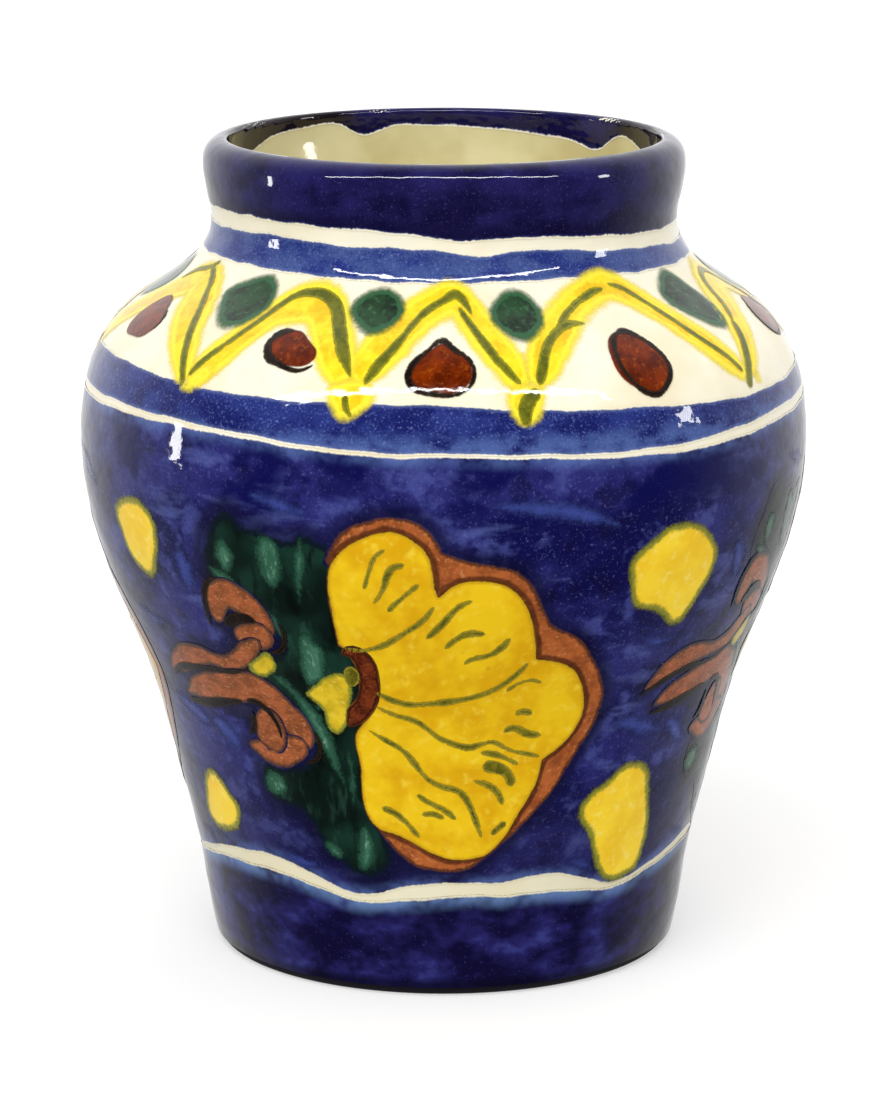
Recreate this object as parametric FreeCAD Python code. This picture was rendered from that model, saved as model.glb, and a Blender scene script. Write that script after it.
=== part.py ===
"""Talavera pottery vase: a wheel-thrown clay body with its glaze coats and painted patches.

The vase stands on its foot with the Z axis up the middle and the origin at the centre of the base.
Angles run round the vase in degrees from the front (-Y), growing towards +X.  Every coat follows one
profile, the finished outer surface, at a small depth below it or height above it.
"""
import FreeCAD, Part
import math
import os

# Driving dimensions, in millimetres
HEIGHT = 127.0
LIP_ROUND = 1.9             # radius of the rolled lip
LIP_RADIUS = 35.2           # middle of the lip
FOOT_RADIUS = 34.2          # outer edge of the flat foot ring
FOOT_ROUND_HEIGHT = 1.5     # where the bare rounded edge of the clay ends and the glaze begins
FOOT_BULGE = (0.78, 0.38)   # where that rounded edge passes, as shares of its width and height
FOOT_RING_INNER = 27.0
FOOT_RING_SLOPE = 1.0       # width of the sloping inner side of the foot ring
FOOT_RECESS = 1.4
INSIDE_FLOOR = 7.0

CREAM_COAT = 0.4            # tin glaze over the clay
COLOUR_COAT = 0.2           # painted colours, fired into the top of the tin glaze
LINE_COAT = 0.1             # brush lines on top of the colours

# The finished outer surface, (radius, height), from the glaze's bottom edge to the lip
OUTER_PROFILE = [
    (36.2, FOOT_ROUND_HEIGHT), (37.3, 6.4), (38.7, 15.2), (41.7, 27.9), (45.7, 43.2), (51.6, 58.4),
    (55.4, 71.0), (56.4, 80.5), (55.0, 91.5), (51.9, 97.8), (46.6, 102.8), (40.4, 107.0),
    (37.1, 110.6), (35.9, 114.3), (36.6, 119.5), (37.1, HEIGHT - LIP_ROUND),
]
# The inside surface, from the lip down to the floor
INNER_PROFILE = [
    (33.3, HEIGHT - LIP_ROUND), (32.5, 120.0), (31.3, 114.3), (32.8, 109.0), (38.2, 103.3), (45.6, 98.0),
    (50.2, 90.0), (51.2, 80.0), (49.8, 68.0), (45.8, 56.0), (40.6, 43.0), (36.6, 28.0),
    (33.6, 15.0), (29.0, 9.4), (21.0, 7.5), (0.0, INSIDE_FLOOR),
]
PROFILE_SAMPLES = 64        # offset points taken along a profile
STROKE_END = 0.45           # share of a brush stroke's width left at its ends

# Colour bands round the vase, (lower edge, upper edge)
RIM_BLUE_LOWER = 116.8
RIM_BLUE_INSIDE = 119.0
NECK_BLUE = (109.9, 114.2)
SHOULDER_BLUE = (88.6, 94.4)
BODY_BLUE = (19.4, 87.4)
FOOT_BLUE = (2.2, 16.2)

# Zigzag band on the shoulder
ZIGZAG_COUNT = 10
ZIGZAG_STEP = 360.0 / ZIGZAG_COUNT
ZIGZAG_PEAK_ANGLE = 1.0
ZIGZAG_LOW = 96.6
ZIGZAG_HIGH = 106.4
ZIGZAG_WIDTH = 3.0
ZIGZAG_BOW = 0.6            # how far each side of a chevron bows upwards
ZIGZAG_END_GAP = 1.6        # degrees left bare between one stroke and the next
ZIGZAG_MARGIN = 0.1         # cream kept between the zigzag and the bands above and below
ZIGZAG_LINE_WIDTH = 0.9
GREEN_DOT = (106.9, 7.0, 3.6)     # height, width and height of the dot
BROWN_DOT = (99.0, 6.6, 5.0)
OUTLINE_WIDTH = 0.6

# Flowers round the body: centre angle and sideways stretch of each hand-painted repeat
FLOWERS = [(0.0, 1.0), (98.0, 0.98), (181.0, 0.84), (264.5, 0.94)]
MOTIF_MIDDLE = -15.0        # angle of the middle of the leaf, flower and bud, from the flower's centre
SPOT_OFFSET = -57.5         # angle of the yellow spots from the flower's centre
UPPER_SPOT = (69.8, 13.6, 12.6)
LOWER_SPOT = (27.0, 12.4, 12.2)

# Outlines of one flower, (angle, height); each list is one smooth stretch between two corners
PETAL_STRETCHES = [
    [(-17.6, 58.0), (-18.0, 64.5), (-16.8, 72.0), (-12.5, 75.4), (-7.9, 76.8), (-3.4, 75.0), (-1.4, 70.4),
     (-0.9, 66.8)],
    [(-0.9, 66.8), (1.2, 68.8), (5.0, 69.3), (10.8, 67.6), (13.6, 63.6), (15.4, 56.4)],
    [(15.4, 56.4), (19.4, 55.6), (24.0, 52.6), (26.2, 46.6), (24.0, 42.0), (19.4, 38.8)],
    [(19.4, 38.8), (18.2, 34.6), (13.6, 28.0), (8.0, 23.4)],
    [(8.0, 23.4), (1.8, 22.9), (-5.0, 25.0), (-12.0, 28.2), (-16.0, 29.6), (-16.6, 36.0), (-16.6, 43.4)],
    [(-16.6, 43.4), (-14.0, 46.4), (-13.2, 51.0), (-14.2, 55.4), (-17.6, 58.0)],
]
BORDER_STRETCHES = [
    [(-18.2, 71.2), (-16.6, 74.6), (-13.0, 77.8), (-8.2, 79.0), (-3.0, 77.4), (0.3, 73.2)],
    [(0.3, 73.2), (7.0, 71.7), (12.6, 69.6), (15.8, 65.0), (17.6, 61.8)],
    [(17.6, 61.8), (23.0, 58.9), (28.2, 52.8), (29.8, 46.8), (26.6, 39.8), (20.0, 31.4), (12.6, 25.2),
     (6.4, 21.6), (0.0, 20.9), (-8.0, 22.3), (-14.6, 27.6)],
    [(-14.6, 27.6), (-11.0, 32.0), (-8.0, 49.0), (-11.0, 66.0), (-18.2, 71.2)],
]
LEAF_STRETCHES = [
    [(-17.5, 76.0), (-24.0, 75.8), (-32.6, 77.2), (-38.2, 73.6), (-39.4, 68.0), (-33.0, 64.6), (-29.0, 58.0),
     (-30.4, 51.0), (-32.0, 44.0), (-36.0, 37.4)],
    [(-36.0, 37.4), (-39.6, 34.0), (-37.8, 30.4), (-31.5, 28.4), (-26.0, 22.6), (-18.0, 19.9),
     (-13.0, 22.0)],
    [(-13.0, 22.0), (-15.0, 45.0), (-17.5, 76.0)],
]
HEART_STRETCHES = [
    [(-17.4, 52.4), (-20.0, 52.2), (-24.0, 49.6), (-22.4, 46.6), (-19.4, 44.6)],
    [(-19.4, 44.6), (-17.8, 47.6), (-17.4, 52.4)],
]
# Brush strokes of one flower: points along the middle, and width
CENTRE_ARC = ([(-18.0, 56.6), (-15.2, 56.0), (-13.6, 52.6), (-13.8, 48.8), (-16.8, 45.0)], 2.4)
BUD_STROKES = [
    ([(-38.8, 60.0), (-37.6, 63.8), (-33.4, 62.8), (-30.4, 59.2), (-33.2, 55.8), (-38.4, 53.2), (-47.0, 52.8),
      (-57.6, 49.4)], 2.9),
    ([(-57.0, 46.0), (-50.0, 48.0), (-41.0, 49.2), (-34.0, 48.4), (-29.6, 43.8), (-29.8, 40.0),
      (-38.4, 38.8)], 3.6),
]
PETAL_VEINS = [
    [(-2.4, 63.4), (-6.0, 61.0), (-10.0, 58.5), (-13.0, 57.6)],
    [(12.6, 54.4), (9.6, 51.8), (2.0, 49.9), (-8.0, 49.2), (-11.6, 50.4)],
    [(-11.6, 48.3), (-5.0, 46.0), (1.0, 43.0), (4.6, 41.7), (9.0, 42.5), (12.0, 41.0), (18.0, 39.6)],
    [(-13.6, 44.2), (-8.0, 41.3), (-3.0, 36.3), (3.0, 34.5), (6.5, 29.5), (7.8, 26.5)],
    [(-8.8, 73.8), (-11.4, 70.4), (-12.4, 67.4)],
    [(-6.0, 71.6), (-8.2, 69.4), (-11.0, 65.2)],
    [(-3.8, 68.8), (-6.0, 66.6), (-8.8, 64.4)],
    [(4.6, 66.0), (1.2, 63.8), (-3.0, 59.8)],
    [(6.8, 60.6), (3.0, 60.4), (0.0, 58.4)],
    [(10.6, 59.6), (7.4, 57.2), (3.2, 55.8)],
    [(16.8, 52.0), (14.4, 52.5), (11.8, 51.4)],
    [(16.0, 46.9), (14.4, 47.4), (12.8, 46.9)],
    [(18.4, 43.3), (14.6, 43.8), (11.0, 44.2)],
    [(8.0, 38.6), (11.4, 37.9), (13.2, 35.0)],
    [(5.6, 36.2), (9.4, 35.3), (11.4, 32.0)],
    [(-12.4, 31.5), (-8.0, 29.5), (-5.2, 26.8)],
    [(-5.4, 33.8), (-1.0, 31.6), (2.4, 29.8)],
]
VEIN_WIDTH = 0.8

REACH = 90.0                # length of a cutter that passes right through the front wall
SECTOR = 62.0               # half angle of the piece of coat that one motif is cut from
FRONT = -90.0               # a section in the XZ plane turns by this much to face the front


def vec(radius, height):
    """Point of a section in the XZ plane."""
    return FreeCAD.Vector(radius, 0, height)


def smooth_curve(points, start=None, end=None):
    """B-spline through points, with end directions if they are given."""
    curve = Part.BSplineCurve()
    if start is None:
        curve.interpolate(Points=points)
    else:
        curve.interpolate(Points=points, InitialTangent=start, FinalTangent=end)
    return curve


def offset_curve(curve, distance):
    """Copy of a profile moved sideways, to the right of its direction of travel."""
    first, last = curve.FirstParameter, curve.LastParameter
    points = []
    for i in range(PROFILE_SAMPLES + 1):
        at = first + (last - first) * i / PROFILE_SAMPLES
        tangent = curve.tangent(at)[0]
        points.append(curve.value(at) + FreeCAD.Vector(tangent.z, 0, -tangent.x) * distance)
    return smooth_curve(points)


OUTER = smooth_curve([vec(*p) for p in OUTER_PROFILE], FreeCAD.Vector(0.3, 0, 1), FreeCAD.Vector(0, 0, 1))
INNER = smooth_curve([vec(*p) for p in INNER_PROFILE], FreeCAD.Vector(0, 0, -1), FreeCAD.Vector(-1, 0, 0))
OUTER_AT = {}


def outer_at(distance):
    """The outer surface's profile at a distance outside (+) or under (-) the finished surface."""
    if distance not in OUTER_AT:
        OUTER_AT[distance] = offset_curve(OUTER, distance) if distance else OUTER
    return OUTER_AT[distance]


def parameter_at(curve, height):
    """Where a profile that only rises reaches a height, found by halving."""
    low, high = curve.FirstParameter, curve.LastParameter
    for _ in range(50):
        middle = (low + high) / 2
        if curve.value(middle).z < height:
            low = middle
        else:
            high = middle
    return (low + high) / 2


def surface_radius(height):
    """Radius of the finished outer surface at a height."""
    return OUTER.value(parameter_at(OUTER, height)).x


def line(start, end):
    return Part.LineSegment(start, end).toShape()


def revolve(edges, angle=360.0):
    """Solid of revolution about Z of the section inside closed edges."""
    section = Part.Face(Part.Wire(Part.__sortEdges__(edges)))
    return section.revolve(FreeCAD.Vector(0, 0, 0), FreeCAD.Vector(0, 0, 1), angle)


def band(low, high, inner, outer, angle=360.0):
    """Ring of coat between two heights and two distances from the finished surface."""
    inside, outside = outer_at(inner), outer_at(outer)
    in_low, in_high = parameter_at(inside, low), parameter_at(inside, high)
    out_low, out_high = parameter_at(outside, low), parameter_at(outside, high)
    edges = [
        inside.toShape(in_low, in_high), outside.toShape(out_low, out_high),
        line(inside.value(in_low), outside.value(out_low)),
        line(inside.value(in_high), outside.value(out_high)),
    ]
    return revolve(edges, angle)


def front_sector(low, high, inner, outer):
    """Part of a ring of coat that lies within SECTOR of the front."""
    ring = band(low, high, inner, outer, 2 * SECTOR)
    ring.rotate(FreeCAD.Vector(0, 0, 0), FreeCAD.Vector(0, 0, 1), FRONT - SECTOR)
    return ring


def lip_arc(distance):
    """Half circle over the lip, from the outside to the inside."""
    centre = vec(LIP_RADIUS, HEIGHT - LIP_ROUND)
    radius = LIP_ROUND + distance
    return Part.Arc(centre + vec(radius, 0), centre + vec(0, radius), centre + vec(-radius, 0)).toShape()


def turned(shape, angle):
    """Copy of a shape turned about the vase's axis."""
    copy = shape.copy()
    copy.rotate(FreeCAD.Vector(0, 0, 0), FreeCAD.Vector(0, 0, 1), angle)
    return copy


def group(shapes):
    """One compound of the solids of several shapes."""
    return Part.makeCompound([solid for shape in shapes for solid in shape.Solids])


# Flat patterns: a motif is drawn on the plane that faces it, then pushed through the coat

def flat(angle, height, stretch=1.0, middle=0.0):
    """Point of a pattern on the plane square to the middle of the motif."""
    turn = math.radians((angle - middle) * stretch)
    return FreeCAD.Vector(surface_radius(height) * math.sin(turn), 0, height)


def outline_face(stretches, stretch, middle):
    """Flat face inside smooth stretches that meet at corners."""
    edges = [smooth_curve([flat(a, h, stretch, middle) for a, h in points]).toShape()
             for points in stretches]
    return Part.Face(Part.Wire(edges))


def stroke_face(points, width, stretch=1.0, middle=0.0):
    """Flat face of a brush stroke: full width along its middle and narrower at both ends."""
    path = smooth_curve([flat(a, h, stretch, middle) for a, h in points])
    steps = 4 * len(points)
    left, right = [], []
    for i in range(steps + 1):
        at = path.FirstParameter + (path.LastParameter - path.FirstParameter) * i / steps
        tangent = path.tangent(at)[0]
        side = FreeCAD.Vector(-tangent.z, 0, tangent.x)
        half = 0.5 * width * (STROKE_END + (1 - STROKE_END) * math.sqrt(math.sin(math.pi * i / steps)))
        left.append(path.value(at) + side * half)
        right.append(path.value(at) - side * half)
    edges = [smooth_curve(left).toShape(), line(left[-1], right[-1]),
             smooth_curve(right[::-1]).toShape(), line(right[0], left[0])]
    return Part.Face(Part.Wire(edges))


def ellipse_face(height, width, tall):
    """Flat face of a dot on the plane that faces it."""
    centre = FreeCAD.Vector(0, 0, height)
    major, minor = max(width, tall) / 2, min(width, tall) / 2
    curve = Part.Ellipse(centre, major, minor)
    edge = curve.toShape()
    edge.rotate(centre, FreeCAD.Vector(1, 0, 0), 90)
    if tall > width:
        edge.rotate(centre, FreeCAD.Vector(0, 1, 0), 90)
    return Part.Face(Part.Wire([edge]))


def push(face):
    """Prism of a flat pattern, from inside the vase out through its front wall."""
    return face.extrude(FreeCAD.Vector(0, -REACH, 0))


def cut_from(coat, face):
    """The piece of coat under a flat pattern."""
    return group([coat.common(push(face))])


# Sub-parts

def clay_body():
    """Thrown clay: wall, rolled lip, floor and foot ring, one fired solid."""
    outside = outer_at(-CREAM_COAT - COLOUR_COAT)
    inside = offset_curve(INNER, -CREAM_COAT - COLOUR_COAT)
    lip = lip_arc(-CREAM_COAT - COLOUR_COAT)
    foot_edge = outside.value(outside.FirstParameter)
    start = vec(FOOT_RADIUS, 0)
    bulge = vec(FOOT_RADIUS + FOOT_BULGE[0] * (foot_edge.x - FOOT_RADIUS), FOOT_BULGE[1] * foot_edge.z)
    top = outside.value(outside.LastParameter)
    drop = inside.value(inside.FirstParameter)
    floor = inside.value(inside.LastParameter)
    lip_start, lip_end = lip.Vertexes[0].Point, lip.Vertexes[-1].Point
    ring_slope = FOOT_RING_INNER - FOOT_RING_SLOPE
    edges = [
        Part.Arc(start, bulge, foot_edge).toShape(), outside.toShape(),
        lip, inside.toShape(),
        line(floor, vec(0, FOOT_RECESS)), line(vec(0, FOOT_RECESS), vec(ring_slope, FOOT_RECESS)),
        line(vec(ring_slope, FOOT_RECESS), vec(FOOT_RING_INNER, 0)),
        line(vec(FOOT_RING_INNER, 0), start),
    ]
    for a, b in ((top, lip_start), (lip_end, drop)):
        if a.distanceToPoint(b) > 1e-6:
            edges.append(line(a, b))
    return revolve(edges)


def coat_over_lip(inner, outer, low):
    """Coat from a height on the outside, up and over the lip to its inner end."""
    inside, outside = outer_at(inner), outer_at(outer)
    in_low, out_low = parameter_at(inside, low), parameter_at(outside, low)
    arc_in, arc_out = lip_arc(inner), lip_arc(outer)
    ends = [vec(LIP_RADIUS - LIP_ROUND - d, HEIGHT - LIP_ROUND) for d in (inner, outer)]
    edges = [
        inside.toShape(in_low, inside.LastParameter), outside.toShape(out_low, outside.LastParameter),
        arc_in, arc_out, line(*ends), line(inside.value(in_low), outside.value(out_low)),
    ]
    return revolve(edges)


def inside_coat(inner, outer, low=None):
    """Coat on the inside, from the lip down to a height, or right over the floor."""
    near, far = offset_curve(INNER, inner), offset_curve(INNER, outer)
    if low is None:
        stops = [near.LastParameter, far.LastParameter]
    else:
        stops = [inside_parameter(curve, low) for curve in (near, far)]
    edges = [
        near.toShape(near.FirstParameter, stops[0]), far.toShape(far.FirstParameter, stops[1]),
        line(near.value(near.FirstParameter), far.value(far.FirstParameter)),
        line(near.value(stops[0]), far.value(stops[1])),
    ]
    return revolve(edges)


def inside_parameter(curve, height):
    """Where the inside profile, which only falls, reaches a height."""
    low, high = curve.FirstParameter, curve.LastParameter
    for _ in range(50):
        middle = (low + high) / 2
        if curve.value(middle).z > height:
            low = middle
        else:
            high = middle
    return (low + high) / 2


def rim_blue():
    """Blue of the collar: outside, over the lip and a little way down the inside."""
    over = coat_over_lip(-COLOUR_COAT, 0.0, RIM_BLUE_LOWER)
    return group([over.fuse(inside_coat(-COLOUR_COAT, 0.0, RIM_BLUE_INSIDE)).removeSplitter()])


def zigzag_face(width, trim):
    """Flat face of one chevron of the zigzag, peak in the middle."""
    reach = ZIGZAG_STEP / 2 - trim
    halfway = (ZIGZAG_LOW + ZIGZAG_HIGH) / 2 + ZIGZAG_BOW
    points = [(-reach, ZIGZAG_LOW), (-reach / 2, halfway), (0, ZIGZAG_HIGH), (reach / 2, halfway),
              (reach, ZIGZAG_LOW)]
    return stroke_face(points, width)


def around(shape, first, step, count):
    """Copies of a shape at even steps round the vase."""
    return group([turned(shape, first + step * i) for i in range(count)])


def zigzag_parts():
    """Yellow chevrons, their brush lines, and the green and brown dots between them."""
    low, high = SHOULDER_BLUE[1] + ZIGZAG_MARGIN, NECK_BLUE[0] - ZIGZAG_MARGIN
    colour = front_sector(low, high, -COLOUR_COAT, 0.0)
    lines = front_sector(low, high, 0.0, LINE_COAT)
    yellow = cut_from(colour, zigzag_face(ZIGZAG_WIDTH, ZIGZAG_END_GAP))
    line_piece = cut_from(lines, zigzag_face(ZIGZAG_LINE_WIDTH, 2 * ZIGZAG_END_GAP))
    green = cut_from(colour.cut(turned(yellow, ZIGZAG_STEP / 2)).cut(turned(yellow, -ZIGZAG_STEP / 2)),
                     ellipse_face(*GREEN_DOT))
    brown_face = ellipse_face(*BROWN_DOT)
    height, width, tall = BROWN_DOT
    ring_face = brown_face.cut(ellipse_face(height, width - 2 * OUTLINE_WIDTH, tall - 2 * OUTLINE_WIDTH))
    brown = cut_from(colour, brown_face)
    ring = cut_from(lines, ring_face)
    peaks = (ZIGZAG_PEAK_ANGLE, ZIGZAG_STEP, ZIGZAG_COUNT)
    valleys = (ZIGZAG_PEAK_ANGLE + ZIGZAG_STEP / 2, ZIGZAG_STEP, ZIGZAG_COUNT)
    return {
        "zigzag_yellow": around(yellow, *peaks),
        "zigzag_brush_line": around(line_piece, *peaks),
        "green_dots": around(green, *valleys),
        "brown_dots": around(brown, *peaks),
        "brown_dot_outlines": around(ring, *peaks),
    }


def flower_parts(angle, stretch):
    """All painted patches of one flower, turned to its place, and the cutter for its ground."""
    colour = front_sector(*BODY_BLUE, -COLOUR_COAT, 0.0)
    lines = front_sector(*BODY_BLUE, 0.0, LINE_COAT)
    petals = outline_face(PETAL_STRETCHES, stretch, MOTIF_MIDDLE)
    border = outline_face(BORDER_STRETCHES, stretch, MOTIF_MIDDLE)
    leaf = outline_face(LEAF_STRETCHES, stretch, MOTIF_MIDDLE)
    heart = outline_face(HEART_STRETCHES, stretch, MOTIF_MIDDLE)
    arc = stroke_face(*CENTRE_ARC, stretch, MOTIF_MIDDLE)
    buds = [stroke_face(points, width, stretch, MOTIF_MIDDLE) for points, width in BUD_STROKES]
    arc_prism, heart_prism = push(arc), push(heart).cut(push(arc))
    petal_prism = push(petals).cut([arc_prism, heart_prism])
    border_prism = push(border).cut([arc_prism, heart_prism, push(petals)])
    bud_prisms = [push(face) for face in buds]
    leaf_prism = push(leaf).cut([push(petals), push(border), arc_prism, heart_prism] + bud_prisms)
    place = angle + MOTIF_MIDDLE * stretch
    parts = {
        "flower_petals": colour.common(petal_prism),
        "flower_rust_borders": colour.common(border_prism),
        "flower_centre_arcs": colour.common(arc_prism),
        "flower_hearts": colour.common(heart_prism),
        "flower_leaves": colour.common(leaf_prism),
        "flower_buds": group([colour.common(prism) for prism in bud_prisms]),
        "petal_veins": group([lines.common(push(stroke_face(v, VEIN_WIDTH, stretch, MOTIF_MIDDLE)))
                              for v in PETAL_VEINS]),
    }
    cutters = [push(petals), push(border), push(leaf), arc_prism, push(heart)] + bud_prisms
    return {name: turned(shape, place) for name, shape in parts.items()}, [turned(c, place) for c in cutters]


def body_parts():
    """Flowers, spots and the blue ground between them."""
    colour = front_sector(*BODY_BLUE, -COLOUR_COAT, 0.0)
    ground = band(*BODY_BLUE, -COLOUR_COAT, 0.0)
    gathered = {}
    for angle, stretch in FLOWERS:
        parts, cutters = flower_parts(angle, stretch)
        for name, shape in parts.items():
            gathered.setdefault(name, []).append(shape)
        spot_angle = angle + SPOT_OFFSET * stretch
        for spot in (UPPER_SPOT, LOWER_SPOT):
            face = ellipse_face(*spot)
            gathered.setdefault("yellow_spots", []).append(turned(cut_from(colour, face), spot_angle))
            cutters.append(turned(push(face), spot_angle))
        ground = ground.cut(cutters)
    gathered["body_blue_ground"] = [max(ground.Solids, key=lambda solid: solid.Volume)]
    return {name: group(shapes) for name, shapes in gathered.items()}


def all_parts():
    """Every node of the vase by name."""
    parts = {
        "clay_body": clay_body(),
        "inside_glaze": inside_coat(-CREAM_COAT - COLOUR_COAT, -COLOUR_COAT),
        "outside_glaze": coat_over_lip(-CREAM_COAT - COLOUR_COAT, -COLOUR_COAT, FOOT_ROUND_HEIGHT),
        "rim_blue_glaze": rim_blue(),
        "neck_blue_band": band(*NECK_BLUE, -COLOUR_COAT, 0.0),
        "shoulder_blue_band": band(*SHOULDER_BLUE, -COLOUR_COAT, 0.0),
        "foot_blue_band": band(*FOOT_BLUE, -COLOUR_COAT, 0.0),
    }
    parts.update(zigzag_parts())
    parts.update(body_parts())
    return parts


os.makedirs("parts", exist_ok=True)
for node, part in all_parts().items():
    part.exportStep(f"parts/{node}.step")
    print(f"{node}: {len(part.Solids)} solids, {part.Volume:.1f} mm3, valid {part.isValid()}")
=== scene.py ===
"""Talavera pottery vase: glaze coats and hand-painted patches on a thrown clay body.

The vase stands on the Z axis in metres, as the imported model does.  Everything painted is laid out on
the unrolled wall, in degrees round the vase (0 at the front, -Y, growing towards +X) and millimetres
up it, and is then wrapped on the wall at its own level above or below the finished surface.
"""

import logging
import math
from dataclasses import dataclass
from enum import Enum
from functools import cache
from typing import Callable, Sequence

import bmesh
import bpy
import numpy as np
from mathutils import Euler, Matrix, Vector

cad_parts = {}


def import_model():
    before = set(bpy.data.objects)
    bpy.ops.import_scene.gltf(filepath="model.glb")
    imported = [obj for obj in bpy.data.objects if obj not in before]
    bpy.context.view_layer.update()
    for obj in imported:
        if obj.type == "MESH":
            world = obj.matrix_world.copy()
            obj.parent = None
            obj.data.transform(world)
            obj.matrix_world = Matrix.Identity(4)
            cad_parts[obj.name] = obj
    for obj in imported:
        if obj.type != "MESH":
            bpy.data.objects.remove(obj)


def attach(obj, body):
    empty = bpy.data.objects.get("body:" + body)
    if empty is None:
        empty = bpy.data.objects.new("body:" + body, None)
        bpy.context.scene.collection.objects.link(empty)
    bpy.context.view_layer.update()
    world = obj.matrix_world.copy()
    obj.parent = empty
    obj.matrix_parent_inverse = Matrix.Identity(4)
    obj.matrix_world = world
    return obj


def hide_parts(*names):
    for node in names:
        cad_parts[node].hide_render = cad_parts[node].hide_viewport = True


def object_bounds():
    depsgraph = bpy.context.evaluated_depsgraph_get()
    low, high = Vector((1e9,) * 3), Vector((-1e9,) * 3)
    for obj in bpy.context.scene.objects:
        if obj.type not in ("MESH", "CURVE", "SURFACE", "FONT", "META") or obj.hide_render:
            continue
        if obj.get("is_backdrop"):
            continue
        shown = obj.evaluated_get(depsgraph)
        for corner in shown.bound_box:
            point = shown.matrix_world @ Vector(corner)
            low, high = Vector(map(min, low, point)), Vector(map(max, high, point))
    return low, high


MM = 0.001
DEGREE_MM = 0.873           # one degree round the wall at its middle radius, in millimetres
TURN = 360.0

Points = Sequence[tuple[float, float]]
Brush = tuple[Points, float | Sequence[float]]
log = logging.getLogger("vase")


# ---------------------------------------------------------------- curves on the unrolled wall

def spline_slopes(knots: np.ndarray, values: np.ndarray, start: np.ndarray | None,
                  end: np.ndarray | None) -> np.ndarray:
    """Slopes of the smooth cubic through values at knots.

    Args:
        knots: rising parameters, one for each value.
        values: points, one row each.
        start: slope at the first point, or None for a free end.
        end: slope at the last point, or None for a free end.

    Returns:
        The slope at each knot, one row each.
    """
    count = len(knots)
    gaps = np.diff(knots)
    matrix = np.zeros((count, count))
    right = np.zeros_like(values)
    for i in range(1, count - 1):
        matrix[i, i - 1:i + 2] = 1 / gaps[i - 1], 2 / gaps[i - 1] + 2 / gaps[i], 1 / gaps[i]
        right[i] = 3 * ((values[i] - values[i - 1]) / gaps[i - 1] ** 2
                        + (values[i + 1] - values[i]) / gaps[i] ** 2)
    for row, near, slope, gap in ((0, 1, start, gaps[0]), (count - 1, count - 2, end, gaps[-1])):
        if slope is None:
            matrix[row, row], matrix[row, near] = 2 / gap, 1 / gap
            right[row] = 3 * (values[near] - values[row]) / gap ** 2 * (1 if row == 0 else -1)
        else:
            matrix[row, row] = 1
            right[row] = slope
    return np.linalg.solve(matrix, right)


def smooth_path(points: Points, step: float, closed: bool = False, start: Points | None = None,
                end: Points | None = None) -> np.ndarray:
    """Evenly spaced points along a smooth curve through given points.

    Args:
        points: the points that the curve goes through.
        step: greatest distance between the points returned.
        closed: whether the curve comes back to its first point.
        start: direction at the first point, for a curve with a set end.
        end: direction at the last point.

    Returns:
        Points as rows; a closed curve doesn't repeat its first point.
    """
    values = np.array(points, float)
    wrap = 3
    if closed:
        values = np.vstack([values[-wrap:], values, values[:wrap + 1]])
    knots = np.concatenate([[0], np.cumsum(np.linalg.norm(np.diff(values, axis=0), axis=1))])
    slopes = spline_slopes(knots, values, None if start is None else np.array(start, float),
                           None if end is None else np.array(end, float))
    low, high = (knots[wrap], knots[-wrap - 1]) if closed else (0.0, knots[-1])
    count = max(3, int(math.ceil((high - low) / step)))
    at = np.linspace(low, high, count + 1)
    if closed:
        at = at[:-1]
    cell = np.clip(np.searchsorted(knots, at, side="right") - 1, 0, len(knots) - 2)
    gap = (knots[cell + 1] - knots[cell])[:, None]
    t = ((at - knots[cell]))[:, None] / gap
    return ((2 * t ** 3 - 3 * t ** 2 + 1) * values[cell] + (t ** 3 - 2 * t ** 2 + t) * gap * slopes[cell]
            + (3 * t ** 2 - 2 * t ** 3) * values[cell + 1] + (t ** 3 - t ** 2) * gap * slopes[cell + 1])


def cornered_path(stretches: Sequence[Points], step: float) -> np.ndarray:
    """Closed outline of smooth stretches that meet at corners."""
    return np.vstack([smooth_path(points, step)[:-1] for points in stretches])


def wavy(points: Points) -> Callable[[np.ndarray], np.ndarray]:
    """Height of a brushed line as a smooth function of the angle round the vase."""
    first = list(points)
    both = [(a - TURN, h) for a, h in first] + first + [(a + TURN, h) for a, h in first]
    path = smooth_path(both, 1.0)
    return lambda angle: np.interp(angle, path[:, 0], path[:, 1])


def distance_to(points: np.ndarray, path: np.ndarray, closed: bool = True) -> np.ndarray:
    """Distance from each point to a line of points, all in flat millimetres."""
    ends = np.roll(path, -1, axis=0) if closed else path[1:]
    starts = path if closed else path[:-1]
    best = np.full(len(points), np.inf)
    for a, b in zip(starts, ends):
        run = b - a
        t = np.clip(((points - a) @ run) / max(float(run @ run), 1e-9), 0, 1)
        gap = points - a - t[:, None] * run
        best = np.minimum(best, np.einsum("ij,ij->i", gap, gap))
    return np.sqrt(best)


def inside_of(points: np.ndarray, path: np.ndarray) -> np.ndarray:
    """Whether each point lies inside a closed line of points."""
    inside = np.zeros(len(points), bool)
    for a, b in zip(path, np.roll(path, -1, axis=0)):
        if a[1] == b[1]:
            continue
        crosses = (a[1] > points[:, 1]) != (b[1] > points[:, 1])
        side = (b[0] - a[0]) * (points[:, 1] - a[1]) / (b[1] - a[1]) + a[0]
        inside ^= crosses & (points[:, 0] < side)
    return inside


# ---------------------------------------------------------------- the wall

class Level(float, Enum):
    """Height of each painted layer over the finished surface, in millimetres."""
    CLAY = -0.50
    CREAM = -0.08
    BAND = 0.0
    LEAF = 0.03
    RUST = 0.06
    PETAL = 0.09
    LINE = 0.12


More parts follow.
